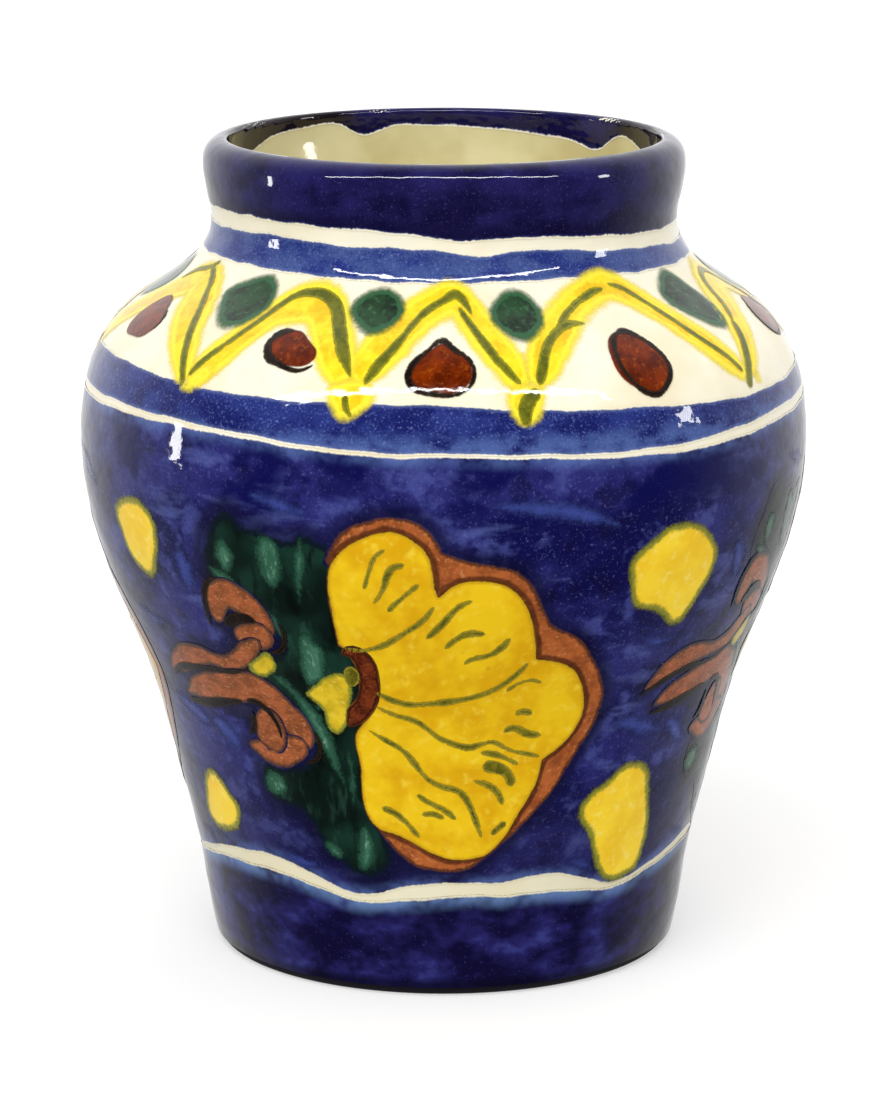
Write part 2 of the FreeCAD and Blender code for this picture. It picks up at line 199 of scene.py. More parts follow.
@dataclass
class Wall:
    """The vase's wall as a line from the foot up the outside, over the lip and down the inside.

    Sizes are millimetres at the design height; `scale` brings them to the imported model's height.  The
    thrown wall strays from true round by its oval, corners and ridges, but not on the floor within the
    true radius or at the foot below the true height.
    """
    height: float = 127.0
    lip_radius: float = 33.9
    lip_outer: float = 3.2
    lip_inner: float = 0.65
    scale: float = 1.0
    oval: float = 0.12
    corners: float = 0.08
    ridges: float = 0.035
    fine_ridges: float = 0.02
    true_radius: float = 25.0
    true_height: float = 4.0
    outer: Points = (
        (36.2, 1.5), (37.3, 6.4), (38.7, 15.2), (41.7, 27.9), (45.7, 43.2), (51.6, 58.4), (55.4, 71),
        (56.4, 80.5), (55, 91.5), (51.9, 97.8), (46.6, 102.8), (40.4, 107), (37.1, 110.6), (35.9, 114.3),
        (36.6, 119), (37.1, 123.8))
    inner: Points = (
        (33.25, 126.35), (32.5, 120), (31.3, 114.3), (32.8, 109), (38.2, 103.3), (45.6, 98), (50.2, 90),
        (51.2, 80), (49.8, 68), (45.8, 56), (40.6, 43), (36.6, 28), (33.6, 15), (29, 9.4), (21, 7.5), (0, 7))

    def __post_init__(self) -> None:
        """Lays out the line and its outward directions."""
        step = 0.3
        outside = smooth_path(self.outer, step, start=(0.29, 0.96), end=(0, 1))
        inside = smooth_path(self.inner, step, start=(0, -1), end=(-1, 0))
        turn = np.linspace(0, math.pi, 32)[1:-1]
        bend = np.where(turn < math.pi / 2, self.lip_outer, self.lip_inner)
        lip = np.column_stack([self.lip_radius + bend * np.cos(turn),
                               self.height - bend + bend * np.sin(turn)])
        line = np.vstack([outside, lip, inside])
        self.run = np.concatenate([[0], np.cumsum(np.linalg.norm(np.diff(line, axis=0), axis=1))])
        self.radius, self.rise = line[:, 0], line[:, 1]
        along = np.column_stack([np.gradient(self.radius, self.run), np.gradient(self.rise, self.run)])
        along /= np.linalg.norm(along, axis=1)[:, None]
        self.out_r, self.out_z = along[:, 1], -along[:, 0]
        self.lip_end = self.run[len(outside) + len(lip)]
        self.end = self.run[-1]
        self.outside_count = len(outside)

    def outside_run(self, height: np.ndarray | float) -> np.ndarray:
        """Place along the line of a height on the outside."""
        count = self.outside_count
        return np.interp(height, self.rise[:count], self.run[:count])

    def inside_run(self, height: np.ndarray | float) -> np.ndarray:
        """Place along the line of a height on the inside wall."""
        keep = self.run >= self.lip_end
        return np.interp(height, self.rise[keep][::-1], self.run[keep][::-1])

    def wobble(self, angle: np.ndarray, height: np.ndarray, radius: np.ndarray) -> np.ndarray:
        """How far the thrown wall strays from true round, in millimetres."""
        turn = np.radians(angle)
        oval = self.oval * np.sin(2 * turn + 0.6 + height / 45)
        corners = self.corners * np.sin(3 * turn + 1.9 - height / 30)
        ridges = self.ridges * np.sin(height * 0.78 + 0.8 * np.sin(turn))
        fine_ridges = self.fine_ridges * np.sin(height * 1.63 + 2 * turn)
        true_floor = np.clip(radius / self.true_radius, 0, 1)
        true_foot = np.clip(height / self.true_height, 0, 1)
        return (oval + corners + ridges + fine_ridges) * true_floor * true_foot

    def wrap(self, angle: np.ndarray, run: np.ndarray, lift: float) -> np.ndarray:
        """Places on the wall, in metres.

        Args:
            angle: degrees round the vase.
            run: millimetres along the line from the foot.
            lift: millimetres above the finished surface.

        Returns:
            One row of x, y, z for each place.
        """
        radius = np.interp(run, self.run, self.radius)
        height = np.interp(run, self.run, self.rise)
        across = radius + np.interp(run, self.run, self.out_r) * lift
        across = np.maximum(across + self.wobble(angle, height, radius), 0)
        across = np.where(radius < 1e-6, 0, across)
        up = height + np.interp(run, self.run, self.out_z) * lift
        turn = np.radians(angle)
        places = np.column_stack([across * np.sin(turn), -across * np.cos(turn), up])
        return places * (MM * self.scale)

    def facing(self, angle: np.ndarray, run: np.ndarray) -> np.ndarray:
        """Direction that the smooth wall faces at each place."""
        turn = np.radians(angle)
        out = np.interp(run, self.run, self.out_r)
        up = np.interp(run, self.run, self.out_z)
        return np.column_stack([out * np.sin(turn), -out * np.cos(turn), up])

    def flat(self, height: float) -> np.ndarray:
        """What turns degrees and heights into flat millimetres, true at one height."""
        radius = float(np.interp(self.outside_run(height), self.run, self.radius))
        return np.array([math.radians(1) * radius, 1.0])


# ---------------------------------------------------------------- painted pieces

class Piece:
    """One painted layer, gathered from its patches into a single mesh.

    Glaze sinks into the glaze under it, so a layer is shaded as smoothly as the wall it lies on.

    Vertex attributes, in millimetres: `edge` is the distance in from the painted edge, and `near` is the
    distance to what the layer goes round.

    Attributes:
        weld: distance within which points are one, in metres.
        key: how far a layer reaches into the one under it, in millimetres.
        rim_rows: distances from a coat's edge of its first rows of mesh.
        rim_insets: widths of the first rows of mesh inside a patch.
        cell: greatest cell of a patch.
        stroke_step: greatest step along a stroke.
        stroke_columns: cells across half a stroke.
        stroke_rim: how far a stroke's mesh goes past its width, at each side.
    """
    layers = ("edge", "near")
    weld = 2e-6
    key = 0.1
    rim_rows = (0.0, 0.18, 0.4, 0.7, 1.1)
    rim_insets = (0.18, 0.22, 0.3)
    cell = 1.2
    stroke_step = 0.6
    stroke_columns = 4
    stroke_rim = 0.04

    def __init__(self, wall: Wall, name: str) -> None:
        """Starts an empty piece."""
        self.wall = wall
        self.name = name
        self.flush = False
        self.bm = self._fresh()

    def _fresh(self) -> bmesh.types.BMesh:
        """An empty bmesh with the piece's attributes."""
        bm = bmesh.new()
        for layer in self.layers:
            bm.verts.layers.float.new(layer)
        bm.verts.layers.float_vector.new("facing")
        return bm

    def _take(self, bm: bmesh.types.BMesh, angle: np.ndarray, run: np.ndarray, top: float, seat: float,
              values: dict[str, np.ndarray]) -> None:
        """Wraps a flat sheet on the wall, closes it underneath and adds it to the piece.

        Args:
            bm: the sheet, whose vertices are in the order of the arrays.
            angle: degrees round the vase of each vertex.
            run: place along the wall's line of each vertex.
            top: level of the sheet.
            seat: level of the surface that it lies on, which it is keyed into.
            values: attributes of each vertex.
        """
        bm.verts.ensure_lookup_table()
        for name, column in values.items():
            layer = bm.verts.layers.float[name]
            for vert, value in zip(bm.verts, column):
                vert[layer] = value
        facing = bm.verts.layers.float_vector["facing"]
        for vert, way in zip(bm.verts, self.wall.facing(angle, run)):
            vert[facing] = way
        self.flush = True
        mark = bm.verts.layers.int.new("mark")
        for i, (vert, place) in enumerate(zip(bm.verts, self.wall.wrap(angle, run, top))):
            vert[mark] = i
            vert.co = place
        bmesh.ops.remove_doubles(bm, verts=bm.verts[:], dist=self.weld)
        underside = list(bm.verts)
        bmesh.ops.extrude_face_region(bm, geom=bm.faces[:], use_keep_orig=True)
        lows = self.wall.wrap(angle, run, seat - self.key)
        for vert in underside:
            vert.co = lows[vert[mark]]
        bmesh.ops.remove_doubles(bm, verts=bm.verts[:], dist=self.weld)
        bmesh.ops.recalc_face_normals(bm, faces=bm.faces[:])
        bm.verts.layers.int.remove(bm.verts.layers.int["mark"])
        sheet = bpy.data.meshes.new("sheet")
        bm.to_mesh(sheet)
        bm.free()
        self.bm.from_mesh(sheet)
        bpy.data.meshes.remove(sheet)

    def ring(self, low: Callable | float, high: Callable | float, seat: float, top: float, columns: int = 320,
             row_step: float = 1.2, near: Callable | None = None, open_low: bool = False) -> None:
        """Adds a coat that goes right round, between two lines along the wall.

        Args:
            low: place of the lower edge along the wall's line, or a function of the angle.
            high: the same for the upper edge.
            seat: level of the surface under the coat.
            top: level of the coat's own surface.
            columns: cells round the vase.
            row_step: greatest cell along the wall.
            near: gives the `near` attribute from angles and heights.
            open_low: the lower end is where the coat stops, not a painted edge.
        """
        round_angle = np.linspace(-TURN / 2, TURN / 2, columns + 1)
        lows = low(round_angle) if callable(low) else np.full(columns + 1, low)
        highs = high(round_angle) if callable(high) else np.full(columns + 1, high)
        width = float(np.mean(highs - lows))
        rim = np.array([row for row in self.rim_rows if row < width / 2.2])
        middle = np.linspace(rim[-1], width - rim[-1], max(2, int((width - 2 * rim[-1]) / row_step) + 1))
        rows = np.concatenate([rim[:-1], middle, (width - rim[:-1])[::-1]]) / width
        bm = self._fresh()
        bmesh.ops.create_grid(bm, x_segments=columns, y_segments=len(rows) - 1, size=1.0)
        grid = np.array([vert.co for vert in bm.verts])
        column = np.rint((grid[:, 0] + 1) / 2 * columns).astype(int)
        row = np.rint((grid[:, 1] + 1) / 2 * (len(rows) - 1)).astype(int)
        angle = round_angle[column]
        run = lows[column] + rows[row] * (highs - lows)[column]
        edge = highs[column] - run
        if not open_low:
            edge = np.minimum(run - lows[column], edge)
        values = {"edge": edge}
        if near is not None:
            values["near"] = near(angle, np.interp(run, self.wall.run, self.wall.rise))
        self._take(bm, angle, run, top, seat, values)

    def patch(self, outline: np.ndarray, seat: float, top: float, near: np.ndarray | None = None) -> None:
        """Adds a patch inside an outline.

        Args:
            outline: degrees and heights, closed.
            seat: level of the surface under the patch.
            top: level of the patch's own surface.
            near: outline from which the `near` attribute is measured outwards.
        """
        ratio = self.wall.flat(float(np.mean(outline[:, 1])))
        flat = outline * ratio
        bm = self._fresh()
        face = bm.faces.new([bm.verts.new((x, y, 0)) for x, y in flat])
        bmesh.ops.recalc_face_normals(bm, faces=[face])
        for inset in self.rim_insets:
            bmesh.ops.inset_region(bm, faces=[face], thickness=inset, use_even_offset=True)
        size = flat.max(axis=0) - flat.min(axis=0)
        for axis in (0, 1):
            count = max(1, int(math.ceil(size[axis] / self.cell)))
            for i in range(1, count):
                place = [0.0, 0.0, 0.0]
                place[axis] = flat[:, axis].min() + size[axis] * i / count
                normal = [0.0, 0.0, 0.0]
                normal[axis] = 1.0
                faces = [f for f in bm.faces if len(f.verts) > 4 or f.calc_area() > 0.5 * self.cell ** 2]
                geom = list({item for f in faces for item in (*f.verts, *f.edges, f)})
                bmesh.ops.bisect_plane(bm, geom=geom, dist=1e-5, plane_co=place, plane_no=normal)
        bmesh.ops.triangulate(bm, faces=[f for f in bm.faces if len(f.verts) > 4])
        flat_verts = np.array([vert.co[:2] for vert in bm.verts])
        values = {"edge": distance_to(flat_verts, flat)}
        if near is not None:
            other = near * ratio
            values["near"] = distance_to(flat_verts, other) * np.where(inside_of(flat_verts, other), -1, 1)
        self._lay(bm, flat_verts / ratio, top, seat, values)

    def stroke(self, points: Points, widths: Sequence[float], seat: float, top: float,
               blunt: float = 6.0) -> None:
        """Adds a brush stroke.

        Args:
            points: degrees and heights along the middle of the stroke.
            widths: width in millimetres at each point.
            seat: level of the surface under the stroke.
            top: level of the stroke's own surface.
            blunt: how square the ends are; 2 is round, more is squarer.
        """
        ratio = self.wall.flat(float(np.mean([height for _, height in points])))
        path = smooth_path(np.array(points) * ratio, self.stroke_step)
        tangent = np.gradient(path, axis=0)
        tangent /= np.maximum(np.linalg.norm(tangent, axis=1), 1e-9)[:, None]
        length = np.concatenate([[0], np.cumsum(np.linalg.norm(np.diff(path, axis=0), axis=1))])
        part = length / length[-1]
        press = np.interp(part, np.linspace(0, 1, len(points)), widths)
        half = press / 2 * (1 - np.abs(2 * part - 1) ** blunt) ** 0.5 + self.stroke_rim
        bm = self._fresh()
        bmesh.ops.create_grid(bm, x_segments=len(path) - 1, y_segments=2 * self.stroke_columns,
                              size=1.0)
        grid = np.array([vert.co for vert in bm.verts])
        row = np.rint((grid[:, 0] + 1) / 2 * (len(path) - 1)).astype(int)
        side = np.sign(grid[:, 1]) * (1 - (1 - np.abs(grid[:, 1])) ** 1.4)
        offset = np.column_stack([-tangent[row, 1], tangent[row, 0]]) * (side * half[row])[:, None]
        flat_verts = path[row] + offset
        for vert, place in zip(bm.verts, flat_verts):
            vert.co = (place[0], place[1], 0)
        ends = np.minimum(length, length[-1] - length)[row]
        edge = np.minimum((1 - np.abs(side)) * half[row], ends)
        self._lay(bm, flat_verts / ratio, top, seat, {"edge": edge})

    def _lay(self, bm: bmesh.types.BMesh, places: np.ndarray, top: float, seat: float,
             values: dict[str, np.ndarray]) -> None:
        """Takes a sheet whose vertices are at degrees and heights on the outside."""
        self._take(bm, places[:, 0], self.wall.outside_run(places[:, 1]), top, seat, values)

    def finish(self, material: bpy.types.Material, slot: str, *nodes: str) -> bpy.types.Object:
        """Makes the object, rides it on the vase's body and hides the imported nodes that it replaces.

        Args:
            material: its glaze.
            slot: not used.
            nodes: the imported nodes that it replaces.

        Returns:
            The new object.
        """
        mesh = bpy.data.meshes.new(self.name)
        self.bm.to_mesh(mesh)
        self.bm.free()
        mesh.polygons.foreach_set("use_smooth", [True] * len(mesh.polygons))
        if self.flush:
            ways = np.zeros(3 * len(mesh.vertices), np.float32)
            mesh.attributes["facing"].data.foreach_get("vector", ways)
            mesh.normals_split_custom_set_from_vertices(ways.reshape(-1, 3))
        mesh.attributes.remove(mesh.attributes["facing"])
        mesh.materials.append(material)
        piece = bpy.data.objects.new(self.name, mesh)
        bpy.context.scene.collection.objects.link(piece)
        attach(piece, "root")
        if nodes:
            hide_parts(*nodes)
        log.info("%s: %d faces", self.name, len(mesh.polygons))
        return piece


# ---------------------------------------------------------------- shader maths

Colour = tuple[float, float, float, float]


def srgb(code: str) -> Colour:
    """A colour written as #RRGGBB, in the renderer's linear light."""
    parts = [int(code[i:i + 2], 16) / 255 for i in (1, 3, 5)]
    linear = [c / 12.92 if c <= 0.04045 else ((c + 0.055) / 1.055) ** 2.4 for c in parts]
    return (*linear, 1.0)


class Value:
    """A shader socket that arithmetic can be written on."""

    def __init__(self, shader: "Nodes", socket: bpy.types.NodeSocket) -> None:
        """Wraps one output socket of a shader."""
        self.shader = shader
        self.socket = socket

    def _maths(self, operation: str, first: "Value | float", second: "Value | float") -> "Value":
        """Adds one Math node."""
        return self.shader.node("ShaderNodeMath", {"operation": operation}, {0: first, 1: second})

    def __add__(self, other: "Value | float") -> "Value":
        """Sum."""
        return self._maths("ADD", self, other)

    __radd__ = __add__

    def __sub__(self, other: "Value | float") -> "Value":
        """Difference."""
        return self._maths("SUBTRACT", self, other)

    def __rsub__(self, other: float) -> "Value":
        """Difference from a number."""
        return self._maths("SUBTRACT", other, self)

    def __mul__(self, other: "Value | float") -> "Value":
        """Product."""
        return self._maths("MULTIPLY", self, other)

    __rmul__ = __mul__

    def rise(self, low: float, high: float) -> "Value":
        """0 at low and 1 at high, with a smooth rise or fall between."""
        settings = {"interpolation_type": "SMOOTHSTEP", "clamp": True}
        return self.shader.node("ShaderNodeMapRange", settings, {0: self, 1: low, 2: high})

    def most(self, other: "Value | float") -> "Value":
        """The greater of two values."""
        return self._maths("MAXIMUM", self, other)

    def least(self, other: "Value | float") -> "Value":
        """The smaller of two values."""
        return self._maths("MINIMUM", self, other)


class Nodes:
    """A node tree, built node by node."""

    def __init__(self, tree: bpy.types.NodeTree) -> None:
        """Takes the tree to build in."""
        self.tree = tree

    def node(self, kind: str, settings: dict, values: dict, output: int | str = 0) -> Value:
        """Adds a node, its settings first and then the values or links of its sockets."""
        node = self.tree.nodes.new(kind)
        for name, setting in settings.items():
            setattr(node, name, setting)
        for key, value in values.items():
            self.feed(node.inputs[key], value)
        return Value(self, node.outputs[output])

    def feed(self, socket: bpy.types.NodeSocket, value: object) -> None:
        """Sets or links one input socket."""
        if isinstance(value, Value):
            self.tree.links.new(value.socket, socket)
        elif isinstance(value, bpy.types.NodeSocket):
            self.tree.links.new(value, socket)
        else:
            socket.default_value = value


class Shader(Nodes):
    """A material with a Principled shader."""

    def __init__(self, name: str) -> None:
        """Starts the material."""
        self.material = bpy.data.materials.new(f"glaze_{name}")
        self.material.use_nodes = True
        super().__init__(self.material.node_tree)
        self.surface = self.tree.nodes["Principled BSDF"]
        self.coords = self.tree.nodes.new("ShaderNodeTexCoord").outputs["Object"]

    def noise(self, scale: float, detail: float = 2.0, rough: float = 0.5, stretch: float = 1.0,
              shift: float = 0.0) -> Value:
        """Soft noise from 0 to 1, with features of about 1/scale metres.

        Args:
            scale: features in a metre.
            detail: octaves of finer noise.
            rough: how strong the finer noise is.
            stretch: how many times longer the features are round the vase than up it.
            shift: moves the pattern, so that two layers of noise differ.

        Returns:
            The noise.
        """
        where = self.node("ShaderNodeMapping", {}, {"Vector": self.coords, "Scale": (1.0, 1.0, stretch),
                                                    "Location": (shift, 2 * shift, 3 * shift)})
        return self.node("ShaderNodeTexNoise", {"noise_dimensions": "3D"},
                         {"Vector": where, "Scale": scale, "Detail": detail, "Roughness": rough})

    def specks(self, scale: float, size: float, share: float) -> Value:
        """Scattered round specks: one for a share of the cells, of a size in cell widths."""
        cell = self.tree.nodes.new("ShaderNodeTexVoronoi")
        self.feed(cell.inputs["Vector"], self.coords)
        self.feed(cell.inputs["Scale"], scale)
        chance = self.node("ShaderNodeSeparateColor", {}, {0: cell.outputs["Color"]})
        distance = Value(self, cell.outputs["Distance"])
        return distance.rise(size, size * 0.55) * chance.rise(1 - share, 1 - share + 0.03)

    def attribute(self, name: str) -> Value:
        """One of the piece's own vertex attributes."""
        return self.node("ShaderNodeAttribute", {"attribute_name": name}, {}, "Fac")

    def mix(self, factor: Value | float, first: "Value | Colour", second: "Value | Colour") -> Value:
        """Colour between two, by a factor."""
        node = self.tree.nodes.new("ShaderNodeMix")
        node.data_type = "RGBA"
        self.feed(node.inputs[0], factor)
        self.feed(node.inputs[6], first)
        self.feed(node.inputs[7], second)
        return Value(self, node.outputs[2])

    def toned(self, colour: "Value | Colour", *rows: tuple[Value, float, str]) -> Value:
        """Lays tones over a colour.

        Args:
            colour: what they go over.
            rows: for each tone a mask, how strongly it covers where that is 1, and its colour.

        Returns:
            The toned colour.
        """
        for mask, strength, code in rows:
            colour = self.mix(mask if strength == 1 else mask * strength, colour, srgb(code))
        return colour

    def relief(self, height: Value) -> None:
        """Gives the surface a relief, in millimetres."""
        bump = self.node("ShaderNodeBump", {}, {"Height": height, "Distance": MM, "Strength": 1.0})
        self.feed(self.surface.inputs["Normal"], bump)

    def place(self, axis: str) -> Value:
        """Distance from the vase's foot centre along an axis, in millimetres."""
        return self.node("ShaderNodeSeparateXYZ", {}, {0: self.coords}, axis) * 1000.0

    def height(self) -> Value:
        """Height up the vase in millimetres."""
        return self.place("Z")

    def radius(self) -> Value:
        """Distance from the vase's axis in millimetres."""
        x, y = self.place("X"), self.place("Y")
        return self.node("ShaderNodeMath", {"operation": "SQRT"}, {0: x * x + y * y})


@dataclass(frozen=True)
class Gloss:
    """How a fired glaze shines.

    Attributes:
        roughness: of the glassy top.
        shine: how strongly it mirrors, where 0.5 is plain glass.
        ripple: height of the slow waves in the glaze, in millimetres.
        peel: height of the fine orange peel.
        wear: how much its roughness varies.
        pit: depth of a pinhole.
    """
    roughness: float = 0.05
    shine: float = 0.46
    ripple: float = 0.16
    peel: float = 0.010
    wear: float = 0.05
    pit: float = 0.03

    def apply(self, shader: Shader, colour: Value | Colour, pits: Value | None = None) -> bpy.types.Material:
        """Finishes a material with this gloss over a colour.

        Args:
            shader: the material being built.
            colour: its colour.
            pits: mask of pinholes, or None.

        Returns:
            The finished material.
        """
        surface = shader.surface
        shader.feed(surface.inputs["Base Color"], colour)
        surface.inputs["Specular IOR Level"].default_value = self.shine
        worn = shader.noise(140, 3, 0.6, shift=0.2)
        shader.feed(surface.inputs["Roughness"], worn * self.wear + (self.roughness - self.wear / 2))
        relief = (shader.noise(150, 2, 0.5, stretch=1.8, shift=0.4) * self.ripple
                  + shader.noise(1100, 1, 0.5, shift=0.7) * self.peel)
        if pits is not None:
            relief = relief - pits * self.pit
        shader.relief(relief)
        return shader.material


# ---------------------------------------------------------------- finishes

def cream(shader: Shader) -> Value:
    """Warm white tin glaze, a little uneven and greyed in places, with painted light that whitens it up the
    neck and painted shade that dulls it towards the foot.
    """
    tone = shader.mix(shader.noise(70, 3, 0.6).rise(0.35, 0.7), srgb("#FAF3DC"), srgb("#F1E6C4"))
    height = shader.height()
    return shader.toned(
        tone,
        (shader.noise(420, 2, 0.6, shift=0.9).rise(0.62, 0.8), 0.25, "#DDD2AE"),
        # painted light: whiter up the neck
        (height.rise(108, 113), 0.3, "#FFFBEA"),
        # painted shade: duller towards the foot
        (height.rise(26, 21), 0.6, "#DED6B4"))


def cobalt(shader: Shader, near: Value | None = None, edge: Value | None = None) -> Value:
    """Mottled violet cobalt ground of the belly, with a painted greying towards the foot that stands in for
    the light there.

    Args:
        shader: the material being built.
        near: distance in millimetres from the painted motifs, which it darkens round, or None for the
            dark next to them.
        edge: distance from the cream lines, near which it is wiped thin, or None.

    Returns:
        The colour.
    """
    broad = shader.noise(75, 3, 0.6, stretch=1.3, shift=0.31)
    cloud = shader.noise(150, 3, 0.65, stretch=1.2, shift=1.3)
    streak = shader.noise(60, 3, 0.6, stretch=3.5, shift=2.1)
    grain = shader.noise(2200, 2, 0.7, shift=0.6)
    height = shader.height()
    colour = shader.toned(
        shader.mix(broad.rise(0.40, 0.62), srgb("#0F0F48"), srgb("#29296C")),
        (cloud.rise(0.52, 0.68), 0.7, "#464D90"),
        (cloud.rise(0.47, 0.34), 0.7, "#100D38"),
        (streak.rise(0.57, 0.68), 0.4, "#5A66A6"),
        (grain.rise(0.56, 0.78), 0.4, "#7078B4"),
        (grain.rise(0.44, 0.26), 0.45, "#0C0A2E"),
        # painted light: greys the lower belly, standing in for how the light falls there
        (height.rise(40, 24), 0.4, "#242244"),
        (height.rise(76, 81) * height.rise(90, 87) * broad.rise(0.56, 0.42), 0.8, "#0B0B4A"))
    if near is None:
        return shader.mix(0.7, colour, srgb("#0C0A24"))
    halo = near.rise(2.8, 0.2) * (cloud * 0.9 + 0.35).least(1.0)
    wiped = edge.rise(2.4, 0.0) * cloud.rise(0.3, 0.62)
    return shader.toned(colour, (halo, 0.85, "#0C0A24"), (wiped, 0.6, "#5F79B4"))


def band_blue(shader: Shader, edge: Value) -> Value:
    """Grainy medium blue of the neck and shoulder bands, deeper on the shoulder."""
    grain = shader.noise(2600, 2, 0.75, shift=0.5)
    cloud = shader.noise(170, 3, 0.6, stretch=1.6, shift=1.7)
    height = shader.height()
    neck = height.rise(97, 108)
    dark = shader.mix(neck, srgb("#161D5E"), srgb("#25337A"))
    light = shader.mix(neck, srgb("#28357A"), srgb("#42548E"))
    return shader.toned(
        shader.mix(cloud.rise(0.36, 0.64), dark, light),
        (grain.rise(0.54, 0.76), 0.6, "#7C8CC4"),
        (grain.rise(0.46, 0.28), 0.6, "#12155A"),
        (height.rise(91.5, 88.8) * height.rise(80, 82) * cloud.rise(0.35, 0.6), 0.5, "#5D76B0"),
        (edge.rise(0.9, 0.1), 0.35, "#7F93C4"))


def seam_brown(shader: Shader) -> Value:
    """Near black brown where the rust meets the petals."""
    return shader.mix(shader.noise(500, 2, 0.6).rise(0.4, 0.6), srgb("#4A2814"), srgb("#6E4218"))


class Ground(Enum):
    """What shows through where a painted patch runs out."""
    COBALT = "cobalt"
    SEAM = "seam"

    def colour(self, shader: Shader) -> Value:
        """Colour of the layer underneath."""
        return cobalt(shader) if self is Ground.COBALT else seam_brown(shader)


@dataclass(frozen=True)
class Paint:
    """A painted colour fired into the glaze.

    Attributes:
        name: of the material.
        core: main colour.
        deep: colour where it pooled.
        light: colour where the brush left it thin.
        rim: colour along its painted edge.
        rim_width: how far in from the covered edge that goes, in millimetres.
        ground: what shows past its edge, or None where the edge itself is sheer.
        fade: distances from the edge where it starts to show and covers fully.
        ragged: how uneven the edge is, in millimetres.
        grain: features in a metre of its mottling.
        stretch: how much longer the mottling is round the vase than up it.
        specks: share of the mottling cells with a dark pinhole.
    """
    name: str
    core: str
    deep: str
    light: str
    rim: str
    rim_width: float = 0.4
    ground: Ground | None = None
    fade: tuple[float, float] = (0.1, 0.35)
    ragged: float = 0.25
    grain: float = 240.0
    stretch: float = 1.0
    specks: float = 0.0

    def tint(self, shader: Shader) -> Value:
        """Colour inside the patch."""
        pool = shader.noise(self.grain, 3, 0.65, stretch=self.stretch, shift=0.4)
        fine = shader.noise(self.grain * 4.5, 2, 0.6, stretch=self.stretch, shift=1.1)
        colour = shader.toned(srgb(self.core), (pool.rise(0.36, 0.66), 1, self.deep),
                              (fine.rise(0.52, 0.78), 0.65, self.light))
        if self.specks:
            colour = shader.toned(colour, (shader.specks(300, 0.16, self.specks), 0.7, self.rim))
        return colour

    def edge(self, shader: Shader) -> Value:
        """Distance in from the painted edge, made uneven."""
        slow = shader.noise(420, 2, 0.6, shift=1.5) - 0.5
        quick = shader.noise(2300, 1, 0.5, shift=2.5) - 0.5
        return shader.attribute("edge") + slow * (self.ragged * 2.2) + quick * (self.ragged * 1.4)

    def build(self) -> bpy.types.Material:
        """The finished material."""
        shader = Shader(self.name)
        edge = self.edge(shader)
        colour = self.tint(shader)
        colour = shader.mix(edge.rise(self.fade[1] + self.rim_width, self.fade[1]), colour, srgb(self.rim))
        cover = edge.rise(*self.fade) * shader.attribute("edge").rise(0.02, 0.3)
        if self.ground is None:
            shader.feed(shader.surface.inputs["Alpha"], cover)
        else:
            colour = shader.mix(cover, self.ground.colour(shader), colour)
        return Gloss().apply(shader, colour)


@dataclass(frozen=True)
class RustPaint(Paint):
    """Rust brush work with a dark line where it meets the petals."""

    def tint(self, shader: Shader) -> Value:
        """Rust with the dark inner line."""
        colour = super().tint(shader)
        gap = shader.attribute("near") + (shader.noise(500, 2, 0.6, shift=3.1) - 0.5) * 0.8
        line = gap.rise(-0.3, 0.05) * gap.rise(0.85, 0.4)
        return shader.toned(colour, (line, 0.75, "#3A1C10"))


@dataclass(frozen=True)
class LeafPaint(Paint):
    """Dark copper green, streaked up and down by the brush."""

    def tint(self, shader: Shader) -> Value:
        """Green with long pale strokes and black pools."""
        sweep = shader.noise(330, 3, 0.6, stretch=0.22, shift=0.6)
        pool = shader.noise(90, 2, 0.5, shift=2.6)
        return shader.toned(
            srgb(self.deep),
            (pool.rise(0.38, 0.6), 1, self.core),
            (sweep.rise(0.54, 0.74), 0.5, self.light),
            (sweep.rise(0.46, 0.34), 0.75, "#060D0A"))


@dataclass(frozen=True)
class GroundPaint:
    """A colour that covers a whole band of the vase.

    Attributes:
        name: of the material.
        tint: makes its colour from the shader and the distance to its edge.
        fade: distances from the edge where it starts to show and covers fully.
        ragged: how uneven the edge is, in millimetres.
    """
    name: str
    tint: Callable[[Shader, Value], Value]
    fade: tuple[float, float] = (0.15, 0.4)
    ragged: float = 0.3

    def build(self) -> bpy.types.Material:
        """The finished material."""
        shader = Shader(self.name)
        slow = shader.noise(260, 3, 0.65, stretch=0.7, shift=1.5) - 0.5
        quick = shader.noise(1700, 2, 0.6, shift=2.5) - 0.5
        edge = shader.attribute("edge") + slow * (self.ragged * 1.2) + quick * (self.ragged * 1.6)
        colour = self.tint(shader, edge)
        colour = shader.mix(edge.rise(*self.fade), cream(shader), colour)
        return Gloss().apply(shader, colour)


def rim_navy(shader: Shader, edge: Value) -> Value:
    """Dark violet cobalt of the collar, nearly black where it pooled at its lower edge, with painted shade in
    brown-black inside the mouth at left and right.
    """
    grain = shader.noise(2400, 2, 0.7, shift=0.5)
    cloud = shader.noise(150, 3, 0.6, stretch=1.5, shift=1.7)
    side = shader.place("X")
    # painted shade: brown-black on the inner wall of the mouth towards left and right
    inner = shader.radius().rise(34.3, 33.4) * side.rise(-12, -18).most(side.rise(26, 29))
    return shader.toned(
        srgb("#0F0B34"),
        (cloud.rise(0.32, 0.66), 1, "#211D55"),
        (grain.rise(0.56, 0.78), 0.35, "#54559A"),
        (edge.rise(3.2, 0.4) * cloud.rise(0.3, 0.6), 0.75, "#0B0826"),
        (edge.rise(0.6, 0.25), 0.4, "#3F4C96"),
        # painted shade inside the mouth
        (inner, 0.85, "#1C130E"))


